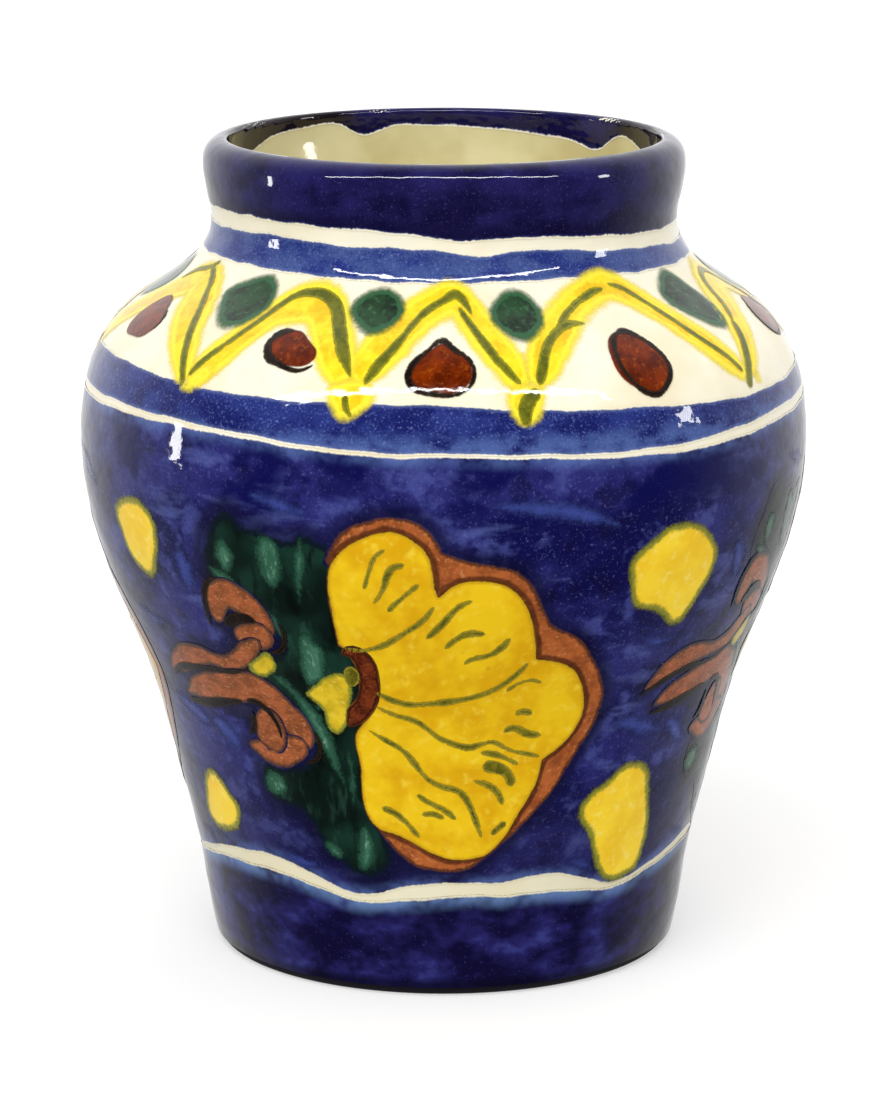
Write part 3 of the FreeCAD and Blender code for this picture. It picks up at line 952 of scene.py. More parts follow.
def foot_navy(shader: Shader, edge: Value) -> Value:
    """Dark cobalt above the foot, wiped pale along the cream line, with a painted shadow near black along its
    bottom edge.
    """
    grain = shader.noise(2400, 2, 0.7, shift=0.9)
    cloud = shader.noise(110, 3, 0.6, stretch=1.5, shift=0.3)
    height = shader.height()
    upper = edge.rise(3.0, 0.2) * height.rise(8, 12) * shader.noise(180, 2, 0.6, shift=1.2).rise(0.3, 0.6)
    return shader.toned(
        srgb("#0E0A30"),
        (cloud.rise(0.40, 0.64), 1, "#262360"),
        (cloud.rise(0.56, 0.70), 0.5, "#414A90"),
        (grain.rise(0.6, 0.8), 0.3, "#5C62A2"),
        (upper, 0.75, "#6C8CBE"),
        # painted shadow: near black along the bottom edge, next to the floor
        (height.rise(3.6, 2.0), 0.8, "#0A0820"))


def clay() -> bpy.types.Material:
    """Bare fired earthenware: pinkish buff, matt, with fine grit and throwing lines, and a blue-black painted
    shadow over the outer foot edge.
    """
    shader = Shader("fired_clay")
    colour = shader.toned(
        srgb("#B98A66"),
        (shader.noise(160, 4, 0.65).rise(0.35, 0.7), 1, "#8E5F42"),
        (shader.specks(900, 0.22, 0.3), 0.5, "#5A3A28"),
        # painted shadow: blue-black from the foot ring's outer part outwards, over the foot edge
        (shader.radius().rise(33.2, 34.6), 1, "#14101E"))
    shader.feed(shader.surface.inputs["Base Color"], colour)
    shader.surface.inputs["Roughness"].default_value = 0.85
    shader.relief(shader.noise(1400, 3, 0.7) * 0.05 + shader.noise(300, 2, 0.5, stretch=5.0) * 0.06)
    return shader.material


def inside_cream() -> bpy.types.Material:
    """Yellowish cream inside glaze with iron specks, darker towards the bottom."""
    shader = Shader("inside_glaze")
    tone = shader.toned(
        srgb("#E4DAA6"),
        (shader.noise(60, 3, 0.6).rise(0.35, 0.7), 1, "#CDBF86"),
        (shader.height().rise(100, 30), 0.5, "#B4A468"),
        (shader.specks(180, 0.1, 0.2), 0.5, "#7A5E34"))
    return Gloss(roughness=0.09).apply(shader, tone)


def outside_cream() -> bpy.types.Material:
    """Warm white tin glaze with a few pinholes."""
    shader = Shader("cream_glaze")
    pits = shader.specks(240, 0.07, 0.08)
    return Gloss().apply(shader, shader.toned(cream(shader), (pits, 0.6, "#A08858")), pits)


class Finish(Enum):
    """The painted finishes of the vase."""
    RIM = GroundPaint("rim_blue", rim_navy, fade=(0.12, 0.35), ragged=0.32)
    BAND = GroundPaint("band_blue", band_blue, fade=(0.1, 0.35), ragged=0.22)
    BODY = GroundPaint("body_blue", lambda s, e: cobalt(s, s.attribute("near"), e),
                       fade=(0.1, 0.4), ragged=0.25)
    FOOT = GroundPaint("foot_blue", foot_navy, fade=(0.1, 0.45), ragged=0.25)
    ZIGZAG = Paint("bright_yellow", "#FBE126", "#EDBE12", "#FFEE48", "#FEE93C",
                   rim_width=0.5, fade=(0.0, 1.5), ragged=0.4, grain=230.0)
    OLIVE = Paint("olive_line", "#6E6E1E", "#545A18", "#94942E", "#8F8C22",
                  rim_width=0.2, fade=(0.0, 0.32), ragged=0.3, grain=500.0)
    GREEN_DOT = Paint("dot_green", "#26462A", "#14261A", "#44744C", "#32603E",
                      rim_width=0.3, fade=(0.0, 1.2), ragged=0.3, grain=260.0)
    BROWN_DOT = Paint("dot_brown", "#7C2A00", "#521600", "#A85210", "#661E06",
                      rim_width=0.3, fade=(0.0, 0.25), grain=300.0)
    DARK_LINE = Paint("dark_line", "#1C120C", "#0C0706", "#3C2818", "#2E2218",
                      rim_width=0.1, fade=(0.0, 0.4), ragged=0.35, grain=500.0)
    PETAL = Paint("petal_yellow", "#EEC41C", "#DCA610", "#F3D340", "#CBA01A",
                  rim_width=0.5, ground=Ground.SEAM, fade=(0.0, 0.3), grain=120.0, specks=0.2)
    RUST = RustPaint("rust", "#B06030", "#8C4824", "#D08A56", "#5E3620",
                     rim_width=0.35, ground=Ground.COBALT, fade=(0.0, 0.6), ragged=0.45, grain=380.0)
    BUD = Paint("rust_bud", "#A85C36", "#824828", "#D0946A", "#62402C",
                ground=Ground.COBALT, fade=(0.0, 0.6), ragged=0.45, grain=360.0, stretch=1.5)
    ARC = Paint("rust_dark", "#763418", "#481A0E", "#9A542C", "#38180E",
                rim_width=0.3, ground=Ground.SEAM, fade=(0.0, 0.4), ragged=0.3, grain=420.0)
    LEAF = LeafPaint("leaf_green", "#17342A", "#0B1914", "#33594A", "#0C1820",
                     rim_width=0.8, ground=Ground.COBALT, fade=(0.1, 1.3), ragged=0.7, grain=200.0)
    LEAF_LIGHT = Paint("leaf_light", "#42705A", "#2E5A44", "#86AA90", "#2A5240",
                       rim_width=0.5, fade=(0.0, 1.3), ragged=0.7, grain=420.0, stretch=0.3)
    VEIN = Paint("petal_line", "#77701E", "#565214", "#9E922C", "#94882A",
                 rim_width=0.15, fade=(0.0, 0.4), ragged=0.35, grain=500.0)
    SPOT = Paint("spot_yellow", "#FFDA38", "#F6C82A", "#FFE874", "#8C8A30",
                 rim_width=0.7, fade=(0.0, 1.1), ragged=0.45, grain=130.0, specks=0.05)
    HEART = Paint("heart_yellow", "#E6C42E", "#C2A51E", "#F0DC5C", "#8A8C30",
                  fade=(0.0, 0.6), ragged=0.35, grain=300.0)
    WASH = Paint("cobalt_wash", "#48559A", "#38448A", "#6C7CB8", "#38448A",
                 fade=(0.0, 2.2), ragged=0.9, grain=300.0, stretch=2.0)

    @cache
    def material(self) -> bpy.types.Material:
        """Builds the finish, once."""
        return self.value.build()


# ---------------------------------------------------------------- sub-assemblies

@dataclass
class Body:
    """The thrown clay and the two plain glazes that cover it."""
    wall: Wall
    foot_radius: float = 34.2
    ring_inner: float = 27.0
    recess: float = 1.4

    def build(self) -> None:
        """Makes the clay, the outside glaze and the inside glaze."""
        self._clay().finish(clay(), "fired_clay", "clay_body")
        wall = self.wall
        outside = Piece(wall, "outside_glaze_coat")
        outside.ring(0.0, wall.lip_end, Level.CLAY, Level.CREAM)
        outside.finish(outside_cream(), "cream_glaze", "outside_glaze")
        inside = Piece(wall, "inside_glaze_coat")
        inside.ring(wall.lip_end, wall.end, Level.CLAY, Level.CREAM, columns=240, row_step=2.0)
        inside.finish(inside_cream(), "inside_glaze", "inside_glaze")

    def _clay(self) -> Piece:
        """One closed shell: wall, lip, floor, foot ring and the recess under it."""
        wall = self.wall
        piece = Piece(wall, "fired_clay_body")
        bm = piece.bm
        under = float(Level.CLAY)
        runs = np.linspace(0, wall.end, 260)
        section = [(float(np.interp(r, wall.run, wall.radius) + np.interp(r, wall.run, wall.out_r) * under),
                    float(np.interp(r, wall.run, wall.rise) + np.interp(r, wall.run, wall.out_z) * under))
                   for r in runs]
        section[-1] = (0.0, section[-1][1])
        foot_x, foot_z = section[0]
        turn = np.linspace(0, math.pi / 2, 7)[:-1]
        edge = [(self.foot_radius + (foot_x - self.foot_radius) * math.sin(t),
                 foot_z * (1 - math.cos(t))) for t in turn]
        ring = self.ring_inner
        base = [(0.0, self.recess), (ring - 1.5, self.recess), (ring - 0.5, self.recess * 0.8), (ring, 0.0)]
        line = base + edge + section
        size = MM * wall.scale
        verts = [bm.verts.new((r * size, 0, z * size)) for r, z in line]
        edges = [bm.edges.new(pair) for pair in zip(verts, verts[1:])]
        bmesh.ops.spin(bm, geom=verts + edges, cent=(0, 0, 0), axis=(0, 0, 1), angle=math.tau, steps=256,
                       use_merge=True)
        bmesh.ops.remove_doubles(bm, verts=bm.verts[:], dist=piece.weld)
        bmesh.ops.recalc_face_normals(bm, faces=bm.faces[:])
        return piece


@dataclass
class Bands:
    """The blue bands, each between two brushed lines (degrees round the vase, millimetres up)."""
    wall: Wall
    rim_lower: Points = (
        (-150, 116.6), (-90, 117), (-63, 117.5), (-42, 117.4), (-22, 117.2), (-8, 116.7), (4, 115.8),
        (16, 116), (30, 115.7), (42, 115.2), (58, 114.6), (90, 115), (140, 116.2), (180, 116.8))
    neck_upper: Points = (
        (-150, 114.4), (-90, 114.9), (-60, 115.2), (-40, 115.5), (-25, 115), (-9, 115), (1, 114.5),
        (7, 113.9), (18, 114.4), (40, 113.5), (60, 112.8), (72, 112.2), (100, 112.8), (150, 114.2),
        (185, 114.3))
    neck_lower: Points = (
        (-150, 110), (-90, 110.3), (-60, 110.4), (-30, 110.1), (0, 109.8), (30, 109.8), (60, 109.3),
        (100, 109.6), (150, 110.2), (190, 110))
    shoulder_upper: Points = (
        (-150, 95.6), (-90, 96), (-60, 96), (-45, 95.3), (-22, 94.9), (0, 94.9), (14, 94), (32, 93.3),
        (50, 92.4), (75, 92.7), (110, 93.6), (150, 95), (185, 95.7))
    line_middle: Points = (
        (-150, 89.2), (-85, 89.6), (-54, 89.7), (-30, 89), (-10, 87.8), (0, 87.8), (20, 87.1), (42, 86.8),
        (60, 87.8), (85, 88.7), (120, 89.1), (160, 88.4), (190, 88.9))
    line_width: Points = (
        (-170, 0.5), (-120, 0.8), (-70, 1), (-40, 0.35), (-10, 0.2), (14, 0.2), (28, 0.4), (50, 1.1),
        (90, 1.2), (140, 0.5))
    base_middle: Points = (
        (-150, 18.4), (-110, 16.6), (-78, 16.2), (-62, 18.3), (-50, 19.2), (-34, 18.7), (-19, 16), (-8, 17.2),
        (4, 17.9), (14, 17.8), (24, 18.1), (31, 17.3), (38, 16), (52, 16.9), (70, 19), (100, 18.6),
        (125, 16.6), (150, 18), (180, 19))
    base_width: Points = (
        (-160, 1.6), (-110, 1), (-60, 1.3), (-47, 2.1), (-34, 2), (-18, 0.9), (-6, 2.1), (10, 1.8), (23, 2.7),
        (38, 0.9), (60, 0.9), (90, 1.8), (130, 1.2), (170, 2))
    drips: Points = (
        (-173, 124.2), (-165, 124.1), (-160, 123.1), (-156, 123), (-151, 124.5), (-140, 124.9), (-131, 124.6),
        (-123, 123.9), (-114, 122.5), (-103, 121.8), (-92, 122.4), (-60, 123.6), (-20, 122.9), (20, 123.7),
        (60, 122.8), (84, 122.1), (94, 121.8), (104, 122.1), (112, 122.8), (118, 124), (123, 124.3),
        (127, 123.5), (132, 121.7), (136, 121.7), (141, 122.5), (150, 123), (160, 123.5), (170, 123.8),
        (180, 124.1))

    def _outside(self, points: Points, shift: Callable | None = None) -> Callable:
        """Place along the wall of a brushed line on the outside, with a small shake of the hand."""
        line = wavy(points)

        def place(angle: np.ndarray) -> np.ndarray:
            """Place of the line at each angle."""
            turn = np.radians(angle)
            shake = 0.07 * np.sin(23 * turn + points[0][1]) + 0.05 * np.sin(41 * turn + 2 * points[1][1])
            height = line(angle) + shake
            return self.wall.outside_run(height + (shift(angle) if shift else 0))
        return place

    def build(self, near: Callable) -> None:
        """Makes the rim, neck, shoulder, belly and foot colours.

        Args:
            near: distance from the painted motifs, by angle and height.
        """
        wall, out = self.wall, self._outside
        drips, line, base = wavy(self.drips), wavy(self.line_width), wavy(self.base_width)
        rows = (
            ("rim_blue", Finish.RIM, "rim_blue_glaze", out(self.rim_lower),
             lambda a: wall.inside_run(drips(a)), {"row_step": 0.6}),
            ("neck_blue", Finish.BAND, "neck_blue_band", out(self.neck_lower), out(self.neck_upper),
             {"row_step": 0.6}),
            ("shoulder_blue", Finish.BAND, "shoulder_blue_band", out(self.line_middle, lambda a: line(a) / 2),
             out(self.shoulder_upper), {"row_step": 0.8}),
            ("body_blue", Finish.BODY, "body_blue_ground", out(self.base_middle, lambda a: base(a) / 2),
             out(self.line_middle, lambda a: -line(a) / 2), {"near": near}),
            ("foot_blue", Finish.FOOT, "foot_blue_band", 0.0, out(self.base_middle, lambda a: -base(a) / 2),
             {"open_low": True}))
        for stem, finish, node, low, high, options in rows:
            coat = Piece(wall, f"{stem}_coat")
            coat.ring(low, high, Level.CREAM, Level.BAND, **options)
            coat.finish(finish.material(), finish.value.name, node)


@dataclass
class Zigzag:
    """Yellow zigzag with its olive brush line, and the dots between its turns.

    Each brush stroke is its points, then its widths in millimetres.  Those of the front are placed one
    by one; behind, the turn under the middle of the front is repeated at an even step.
    """
    wall: Wall
    yellow: Sequence[Brush] = (
        (((-62.5, 107.6), (-70, 106.4), (-78, 102.4), (-84, 98.6), (-88.6, 95)), (3.5, 5, 4.6, 4.4, 3.6)),
        (((-66.5, 108), (-61, 106.4), (-55, 103.4), (-50, 100), (-47, 97.2), (-45.4, 94.8)),
         (3.4, 5, 5.2, 4.6, 3.8, 2.4)),
        (((-45, 95.4), (-42.4, 98), (-38.6, 102), (-34.6, 105.6), (-30, 106.8), (-25.6, 106.6),
         (-21.6, 104.2), (-18.2, 100.4), (-15.6, 96.8)), (3.2, 4.6, 4.4, 4.4, 4.8, 5, 5.2, 5, 3.6)),
        (((-15.4, 97), (-12.6, 100.2), (-9, 103.4), (-5, 106), (-1, 107.5), (2.6, 107.8), (5.6, 105.6),
         (8.8, 102.4), (11.4, 99.2), (12.8, 96.2)), (3.6, 5.2, 5.4, 4.8, 4.2, 4.2, 4.6, 4.6, 4.2, 3.2)),
        (((14.2, 96.4), (16.6, 99.8), (19.6, 102.6), (24, 105), (29, 107), (34, 108.2), (38.4, 108.6),
         (42.4, 107.4), (46, 105.2), (49.4, 102.2), (53, 98.6), (56, 95.8), (57.6, 93.8)),
         (3.4, 4.6, 4.8, 4, 3.6, 3.4, 3.6, 4, 4.4, 4.4, 4.2, 3.6, 2.6)),
        (((58, 94.2), (61, 97.8), (64.6, 101), (70, 104.2), (76, 106.2), (81, 106.4), (85.6, 103.6),
         (89.6, 99.4), (92.6, 95.4)), (2.8, 3.8, 4.2, 4.2, 4, 4.2, 4.6, 4.6, 3.4)))
    olive: Sequence[Brush] = (
        (((-76, 106.2), (-72, 108), (-67, 108.8), (-63.2, 110.2)), (0.8, 1, 1.1, 0.9)),
        (((-66.4, 109.2), (-62, 108), (-58, 106), (-54, 103.8), (-50, 100.6), (-47.2, 97.2), (-45.6, 94.6)),
         (1.4, 1.3, 1.2, 1.3, 1.5, 1.4, 1.6)),
        (((-45.4, 96), (-43.4, 98.4), (-40, 101.5), (-37, 104.5), (-34.4, 106.8), (-31.4, 107.9), (-27, 108),
         (-23.4, 107), (-20.4, 104.6), (-17.8, 101.6), (-16, 99.4), (-15, 98)),
         (1.6, 1.5, 1.2, 1.2, 1.4, 1.3, 1.6, 1.8, 2.2, 2.3, 2.1, 1.2)),
        (((-12.8, 97.2), (-11.2, 99.6), (-9, 101.8), (-7, 103.8), (-4.8, 105.7), (-2.2, 107), (0.4, 107.9),
         (2.4, 108.5), (4.4, 107.5), (5.8, 105.6)), (1.5, 1.9, 1.6, 1.4, 1.2, 1.3, 1.2, 1.6, 1.5, 0.9)),
        (((2.8, 107), (5, 104.9), (7.2, 102.6), (9.6, 100), (12.6, 97.2)), (1.2, 1.3, 1.6, 1.5, 1.1)),
        (((15.2, 97), (16.2, 99), (17.6, 101.2), (19.6, 102.8), (22.2, 103.9), (25, 104.4), (28.2, 104.2)),
         (1.7, 1.8, 1.6, 1.3, 1.3, 1.1, 0.6)),
        (((20.6, 103.2), (23.4, 104.8), (27, 106.2), (31, 107.3), (34.6, 108), (37.4, 108.2)),
         (0.9, 1, 1.1, 1.1, 1.2, 0.8)),
        (((38.6, 108.7), (42, 107.9), (45, 106.2), (48, 103.4), (51, 100.4), (54, 98), (56.8, 95.2)),
         (0.9, 1.2, 1.2, 1.2, 1.2, 1.1, 1.3)),
        (((56.8, 92.8), (58.8, 95.8), (61.5, 98.8), (64.8, 101.8)), (1.8, 1.9, 1.7, 1.3)),
        (((64, 101.4), (68, 103.5), (72, 105.8), (77, 107.2), (82, 106.8), (86, 103.6), (90, 99)),
         (1, 1.1, 1, 1.1, 1.2, 1.4, 1.3)))
    valleys: Sequence[Points] = (
        ((-46.6, 94.2), (-44, 93.6), (-41.2, 94.6), (-39.4, 96.8), (-40.2, 98.8), (-43, 98.6), (-45.6, 96.8)),
        ((-19.4, 96.8), (-18.9, 94.9), (-17.2, 92.5), (-15.4, 91.7), (-12.8, 92.7), (-11.2, 94), (-9.8, 96.2),
         (-12, 98.2), (-16, 98.4)),
        ((9.2, 96), (9.5, 93.4), (11.6, 91.4), (14.4, 91.6), (16.2, 93.8), (16.8, 96.6), (14.4, 98),
         (11.2, 97.8)),
        ((58.6, 93.8), (60, 92.8), (61.8, 93.2), (62, 94.6), (60.4, 95.4)))
    valley_lines: Sequence[Brush] = (
        (((-15.6, 96), (-15.2, 94.2), (-14, 92.8)), (1.2, 1.3, 0.8)),
        (((15.4, 96.4), (13.8, 95.6), (12.6, 94), (12.8, 91.6)), (1.6, 2.6, 2.4, 1.4)))
    green: Sequence[Points] = (
        ((-53.4, 107), (-47.6, 103), (-41, 102.6), (-36.8, 106), (-40, 109.6), (-47.4, 109.4)),
        ((-20.4, 106.8), (-16.6, 103.8), (-11, 103.4), (-7.2, 106.6), (-10.2, 109.2), (-16.8, 109.2)),
        ((8.4, 105.8), (12, 102.7), (17.6, 102.8), (21, 106.2), (17.8, 109), (11.4, 108.6)),
        ((50.6, 105.8), (55.6, 101.8), (61.2, 100.8), (65.4, 105), (63, 108.8), (55.6, 108.8)),
        ((86, 105.6), (90, 102.6), (95, 103), (98.6, 106), (94.6, 108.6), (88.6, 108.4)))
    brown: Sequence[Points] = (
        ((-73.4, 101), (-72, 104), (-68.4, 104.7), (-64.6, 103.4), (-61.8, 101.2), (-63, 99.7), (-67, 99),
         (-71.8, 99.4)),
        ((-32.2, 101.2), (-30.4, 103), (-27.2, 103.6), (-24.2, 102.4), (-21.8, 100.6), (-22.8, 99.5),
         (-26, 99), (-30, 99.6)),
        ((-5.8, 98.4), (-3.2, 101.4), (-0.4, 102.8), (2.8, 101.6), (4.8, 99.6), (4, 97.4), (1, 96.2),
         (-2.2, 96.3), (-4.6, 97.2)),
        ((29, 99.2), (29.8, 101.8), (32.4, 103), (35.4, 102.8), (38, 101.4), (40, 98.6), (38.2, 95.6),
         (35, 94.5), (31.8, 95.6), (29.6, 97.4)),
        ((76, 100.2), (79, 102.8), (84, 102.8), (87.6, 100.2), (84, 98), (79, 98)))
    rings: Sequence[Brush] = (
        (((-64.8, 103.2), (-62, 101.6), (-62.4, 100.2)), (0.6, 0.9, 0.4)),
        (((-21.6, 99.8), (-24, 98.7), (-28, 99.2), (-31.4, 100.6), (-32, 102), (-30, 103.2), (-27.6, 103.4)),
         (0.5, 0.9, 1, 1.6, 1.9, 1.5, 0.5)),
        (((-2, 102.2), (-4, 101), (-5.8, 98.8), (-5, 97.2), (-2.4, 96.4), (1, 96.1), (4, 97.2), (4.9, 99.6),
         (3.4, 101.2), (1.6, 102), (0, 102.9), (-2.4, 102), (-3.6, 100.8)),
         (1.2, 1.3, 1.6, 1.5, 1.2, 1, 0.9, 1, 1.1, 1.2, 1.4, 1.2, 0.5)),
        (((33.4, 102.9), (31.2, 101.8), (30.4, 99.4), (31, 97.4), (33, 95.4), (35.4, 94.6), (38, 95.8),
         (39.8, 98.4), (38.4, 101), (36, 102.6), (33.6, 102.9), (32, 102.2)),
         (1.2, 1.5, 1.3, 1.2, 1.4, 1.4, 1.3, 1.4, 1.3, 1.2, 1.4, 0.6)),
        (((78.6, 102.6), (76.2, 100.2), (79, 98), (84, 98), (87.4, 100.2), (84, 102.8)),
         (0.9, 1.2, 0.9, 1.1, 1.2, 0.8)))
    halo: float = 2.0
    ring_press: float = 0.85
    typical: tuple[float, float] = (-14.6, 13.6)
    hidden: tuple[float, float] = (93.0, 271.4)
    behind: int = 5

    def _repeat(self, strokes: Sequence, picks: Sequence[int], shake: float = 0.25) -> list:
        """The front strokes, then the picked ones again at each hidden turn.

        Args:
            strokes: brush strokes, or outlines.
            picks: which of them belong to the turn under the middle of the front.
            shake: how far the hand strays, in degrees and millimetres.

        Returns:
            All of them, as the same kind.
        """
        rng = np.random.default_rng(len(strokes) + 7 * picks[0])
        first, last = self.typical
        step = (self.hidden[1] - self.hidden[0]) / self.behind
        stretch = step / (last - first)
        found = list(strokes)
        for turn in range(self.behind):
            start = self.hidden[0] + step * turn
            for pick in picks:
                brush = np.ndim(strokes[pick][0]) == 2
                points = strokes[pick][0] if brush else strokes[pick]
                moved = [(start + (a - first) * stretch + rng.uniform(-shake, shake) * 2,
                          h + rng.uniform(-shake, shake)) for a, h in points]
                found.append((moved, strokes[pick][1]) if brush else moved)
        return found

    def build(self) -> None:
        """Makes the chevrons, their lines and the dots."""
        wall = self.wall
        yellow = Piece(wall, "zigzag_yellow_strokes")
        for i, (points, widths) in enumerate(self._repeat(self.yellow, (3,))):
            yellow.stroke(points, [w + self.halo for w in widths], Level.CREAM, Level.BAND + 0.006 * (i % 3),
                          blunt=12)
        for outline in self._repeat(self.valleys, (2,)):
            yellow.patch(smooth_path(outline, 0.5, closed=True), Level.BAND, Level.BAND + 0.03)
        yellow.finish(Finish.ZIGZAG.material(), "bright_yellow", "zigzag_yellow")
        lines = Piece(wall, "zigzag_olive_lines")
        for points, widths in (*self._repeat(self.olive, (3, 4)), *self._repeat(self.valley_lines, (1,))):
            lines.stroke(points, widths, Level.BAND, Level.PETAL, blunt=10)
        lines.finish(Finish.OLIVE.material(), "olive_line", "zigzag_brush_line")
        for name, outlines, step, top, finish, node in (
                ("green_dot_patches", self.green, 0.5, Level.BAND + 0.02, Finish.GREEN_DOT, "green_dots"),
                ("brown_dot_patches", self.brown, 0.45, Level.RUST, Finish.BROWN_DOT, "brown_dots")):
            dots = Piece(wall, name)
            for outline in self._repeat(outlines, (2,)):
                dots.patch(smooth_path(outline, step, closed=True), Level.CREAM, top)
            dots.finish(finish.material(), finish.value.name, node)
        rings = Piece(wall, "brown_dot_lines")
        for points, widths in self._repeat(self.rings, (2,), shake=0.12):
            rings.stroke(points, [w * self.ring_press for w in widths], Level.RUST, Level.PETAL, blunt=14)
        rings.finish(Finish.DARK_LINE.material(), "dark_line", "brown_dot_outlines")


@dataclass
class Flower:
    """One painted flower, with its leaf, buds and spots; degrees from its centre, millimetres up."""
    petals: Sequence[Points] = (
        ((-17.5, 58.2), (-18.1, 64.5), (-17.2, 71.6), (-15.4, 73.7), (-10.8, 76.2), (-7.9, 76.8),
         (-4.5, 75.5), (-2.2, 73.2), (-1.5, 70.1), (-0.8, 66.8)),
        ((-0.8, 66.8), (1.6, 68.7), (5.2, 69.3), (9.9, 68.2), (12.7, 65.5), (14.5, 61.5), (15.6, 56.2)),
        ((15.6, 56.2), (19, 55.6), (23.1, 53.5), (25.4, 49.9), (26.2, 46.2), (24.8, 43), (22.3, 40.7),
         (19.2, 38.9)),
        ((19.2, 38.9), (18.5, 35.2), (15.6, 30.6), (12.2, 26), (8.7, 23.4)),
        ((8.7, 23.4), (1.8, 22.9), (-3.9, 24.5), (-9.6, 26.8), (-14.2, 28.2), (-15.8, 30), (-16.5, 38.8),
         (-16.6, 43.6), (-14.4, 46), (-13.3, 50), (-14.2, 55.4), (-17.5, 58.2)))
    border: Sequence[Points] = (
        ((-18.6, 71.2), (-17.6, 73.7), (-15.4, 76.5), (-10.8, 78.6), (-6.2, 79), (-2.2, 77.1), (0.1, 73.8)),
        ((0.1, 73.8), (3.2, 72.6), (6.4, 71.9), (12.2, 70.1), (15, 66.4), (17.3, 62.2), (21.9, 59.6),
         (25.4, 56.4), (28.2, 52.6), (30, 48), (29.4, 44.3), (26.5, 39.6), (23.6, 35.2), (19.1, 30.5),
         (13.9, 26.3), (9.9, 23.6), (6.4, 21.5), (0.7, 20.7), (-7.3, 22.1), (-12.6, 26.2), (-14.6, 28.4)),
        ((-14.6, 28.4), (-11, 32), (-8, 49), (-11, 66), (-18.6, 71.2)))
    leaf: Points = (
        (-16.5, 74.6), (-19.4, 75.4), (-22, 76), (-24.4, 75), (-28, 76), (-31, 76.2), (-33.4, 78.2),
        (-36.6, 77.6), (-39, 74.6), (-40.6, 70.4), (-40.4, 66.6), (-35, 65), (-29.6, 60.6), (-28.6, 57.4),
        (-33, 54.6), (-36.5, 51.8), (-33, 48), (-28, 44.5), (-26.4, 40), (-31, 37.2), (-37.6, 37.2),
        (-40, 35), (-39, 31.2), (-35, 29.2), (-30.6, 28.6), (-27.4, 24.4), (-22.6, 20.8), (-17.4, 18.8),
        (-11.4, 21), (-12, 30), (-13, 50), (-14, 66))
    leaf_strokes: Sequence[Brush] = (
        (((-28.2, 75.4), (-27.6, 72.4), (-27.4, 69.6), (-27.6, 66)), (3, 5.4, 4.6, 2.4)),
        (((-21.8, 75.4), (-22.2, 72), (-22.8, 68), (-23, 64)), (1.6, 2.9, 2.2, 1.4)),
        (((-39.8, 69), (-37.2, 67.4), (-34, 65.6), (-31, 63.2), (-28.2, 60.8), (-26.8, 57.6)),
         (2.2, 3.6, 2.6, 2.4, 2.6, 1.8)),
        (((-36.6, 73.6), (-35.6, 70.4), (-36.4, 67.8)), (2.6, 4.6, 2.4)),
        (((-24, 60), (-22.6, 56.6), (-23.2, 53), (-24.6, 50.4)), (3, 5.4, 5.6, 2.6)),
        (((-33.6, 53.4), (-30, 51.2), (-26.6, 48.2), (-24.4, 44.8), (-22.8, 41.4), (-21.4, 38),
         (-19.8, 34.4)), (2, 2.8, 3, 3.8, 4, 2.8, 1.6)),
        (((-25.2, 50.4), (-22.8, 49.2), (-23, 47.4), (-24.6, 47.6)), (1.8, 2.2, 2.2, 1.4)),
        (((-38.6, 35.2), (-36.4, 33.4), (-33.4, 31.6)), (3.4, 5.6, 3.4)),
        (((-16.8, 28.6), (-16.3, 25), (-17.2, 21.8), (-18, 20)), (1.8, 3.4, 3.8, 2.2)),
        (((-26, 25.4), (-23.6, 23.2), (-21.4, 22.2)), (2, 3.4, 2)),
        (((-18.6, 41), (-18.2, 36), (-18.6, 31)), (1.4, 2, 1.4)))
    heart: Points = (
        (-25.6, 49), (-23, 51.6), (-20, 53.4), (-16.8, 53.6), (-15.8, 50.8), (-16.8, 47.4), (-18.2, 44.2),
        (-20.6, 42.9), (-22.4, 44.6), (-22.6, 47))
    fleck: Points = ((-36.6, 52.4), (-33.8, 54.8), (-30.8, 56), (-29.6, 53.6), (-31.6, 51.5), (-34.6, 51.3))
    arc: Brush = (
        ((-17.2, 56.8), (-15.4, 57.3), (-13.6, 56), (-12.9, 53.6), (-13, 50.8), (-14, 48.6), (-16, 46.6),
        (-17.8, 44.6)), (1.8, 2.8, 3.2, 3.2, 3.2, 3.3, 3.4, 2))
    arc_light: Brush = (((-16.6, 55), (-15.8, 53.2), (-16.6, 51.4)), (2, 3, 1.6))
    buds: Sequence[Brush] = (
        (((-39.6, 59.2), (-39.6, 62), (-37.6, 64.5), (-34.4, 63.9), (-31.2, 61.4), (-29.2, 58.4)),
         (2.6, 3.8, 4.4, 4.2, 3.8, 3)),
        (((-29.2, 59.4), (-32, 58.3), (-35, 58), (-37.2, 57.2)), (3, 4, 3.6, 2)),
        (((-32, 57.6), (-35, 55.7), (-38, 53.7), (-42, 52.5), (-46, 52.9), (-50, 52.5), (-55, 50.9),
         (-60.6, 48.6)), (3, 3.2, 2.6, 1.8, 2.8, 3.8, 3.4, 1.4)),
        (((-57.2, 45.2), (-52, 46.8), (-46, 48.1), (-40, 48.9), (-36, 49), (-33, 47.6), (-30, 45),
         (-27.4, 42.6), (-26.4, 39.8)), (1.8, 3.8, 4.2, 4.6, 5, 4.8, 4.8, 4.8, 3)),
        (((-26.6, 40.6), (-30, 39.8), (-34, 38.5), (-38, 38.8), (-41.6, 39.2)), (3.2, 4, 4.4, 3, 1.4)),
        (((-36.4, 45.8), (-35, 43.6), (-35.2, 41), (-36.4, 38.8)), (2.8, 5, 5.2, 4)))
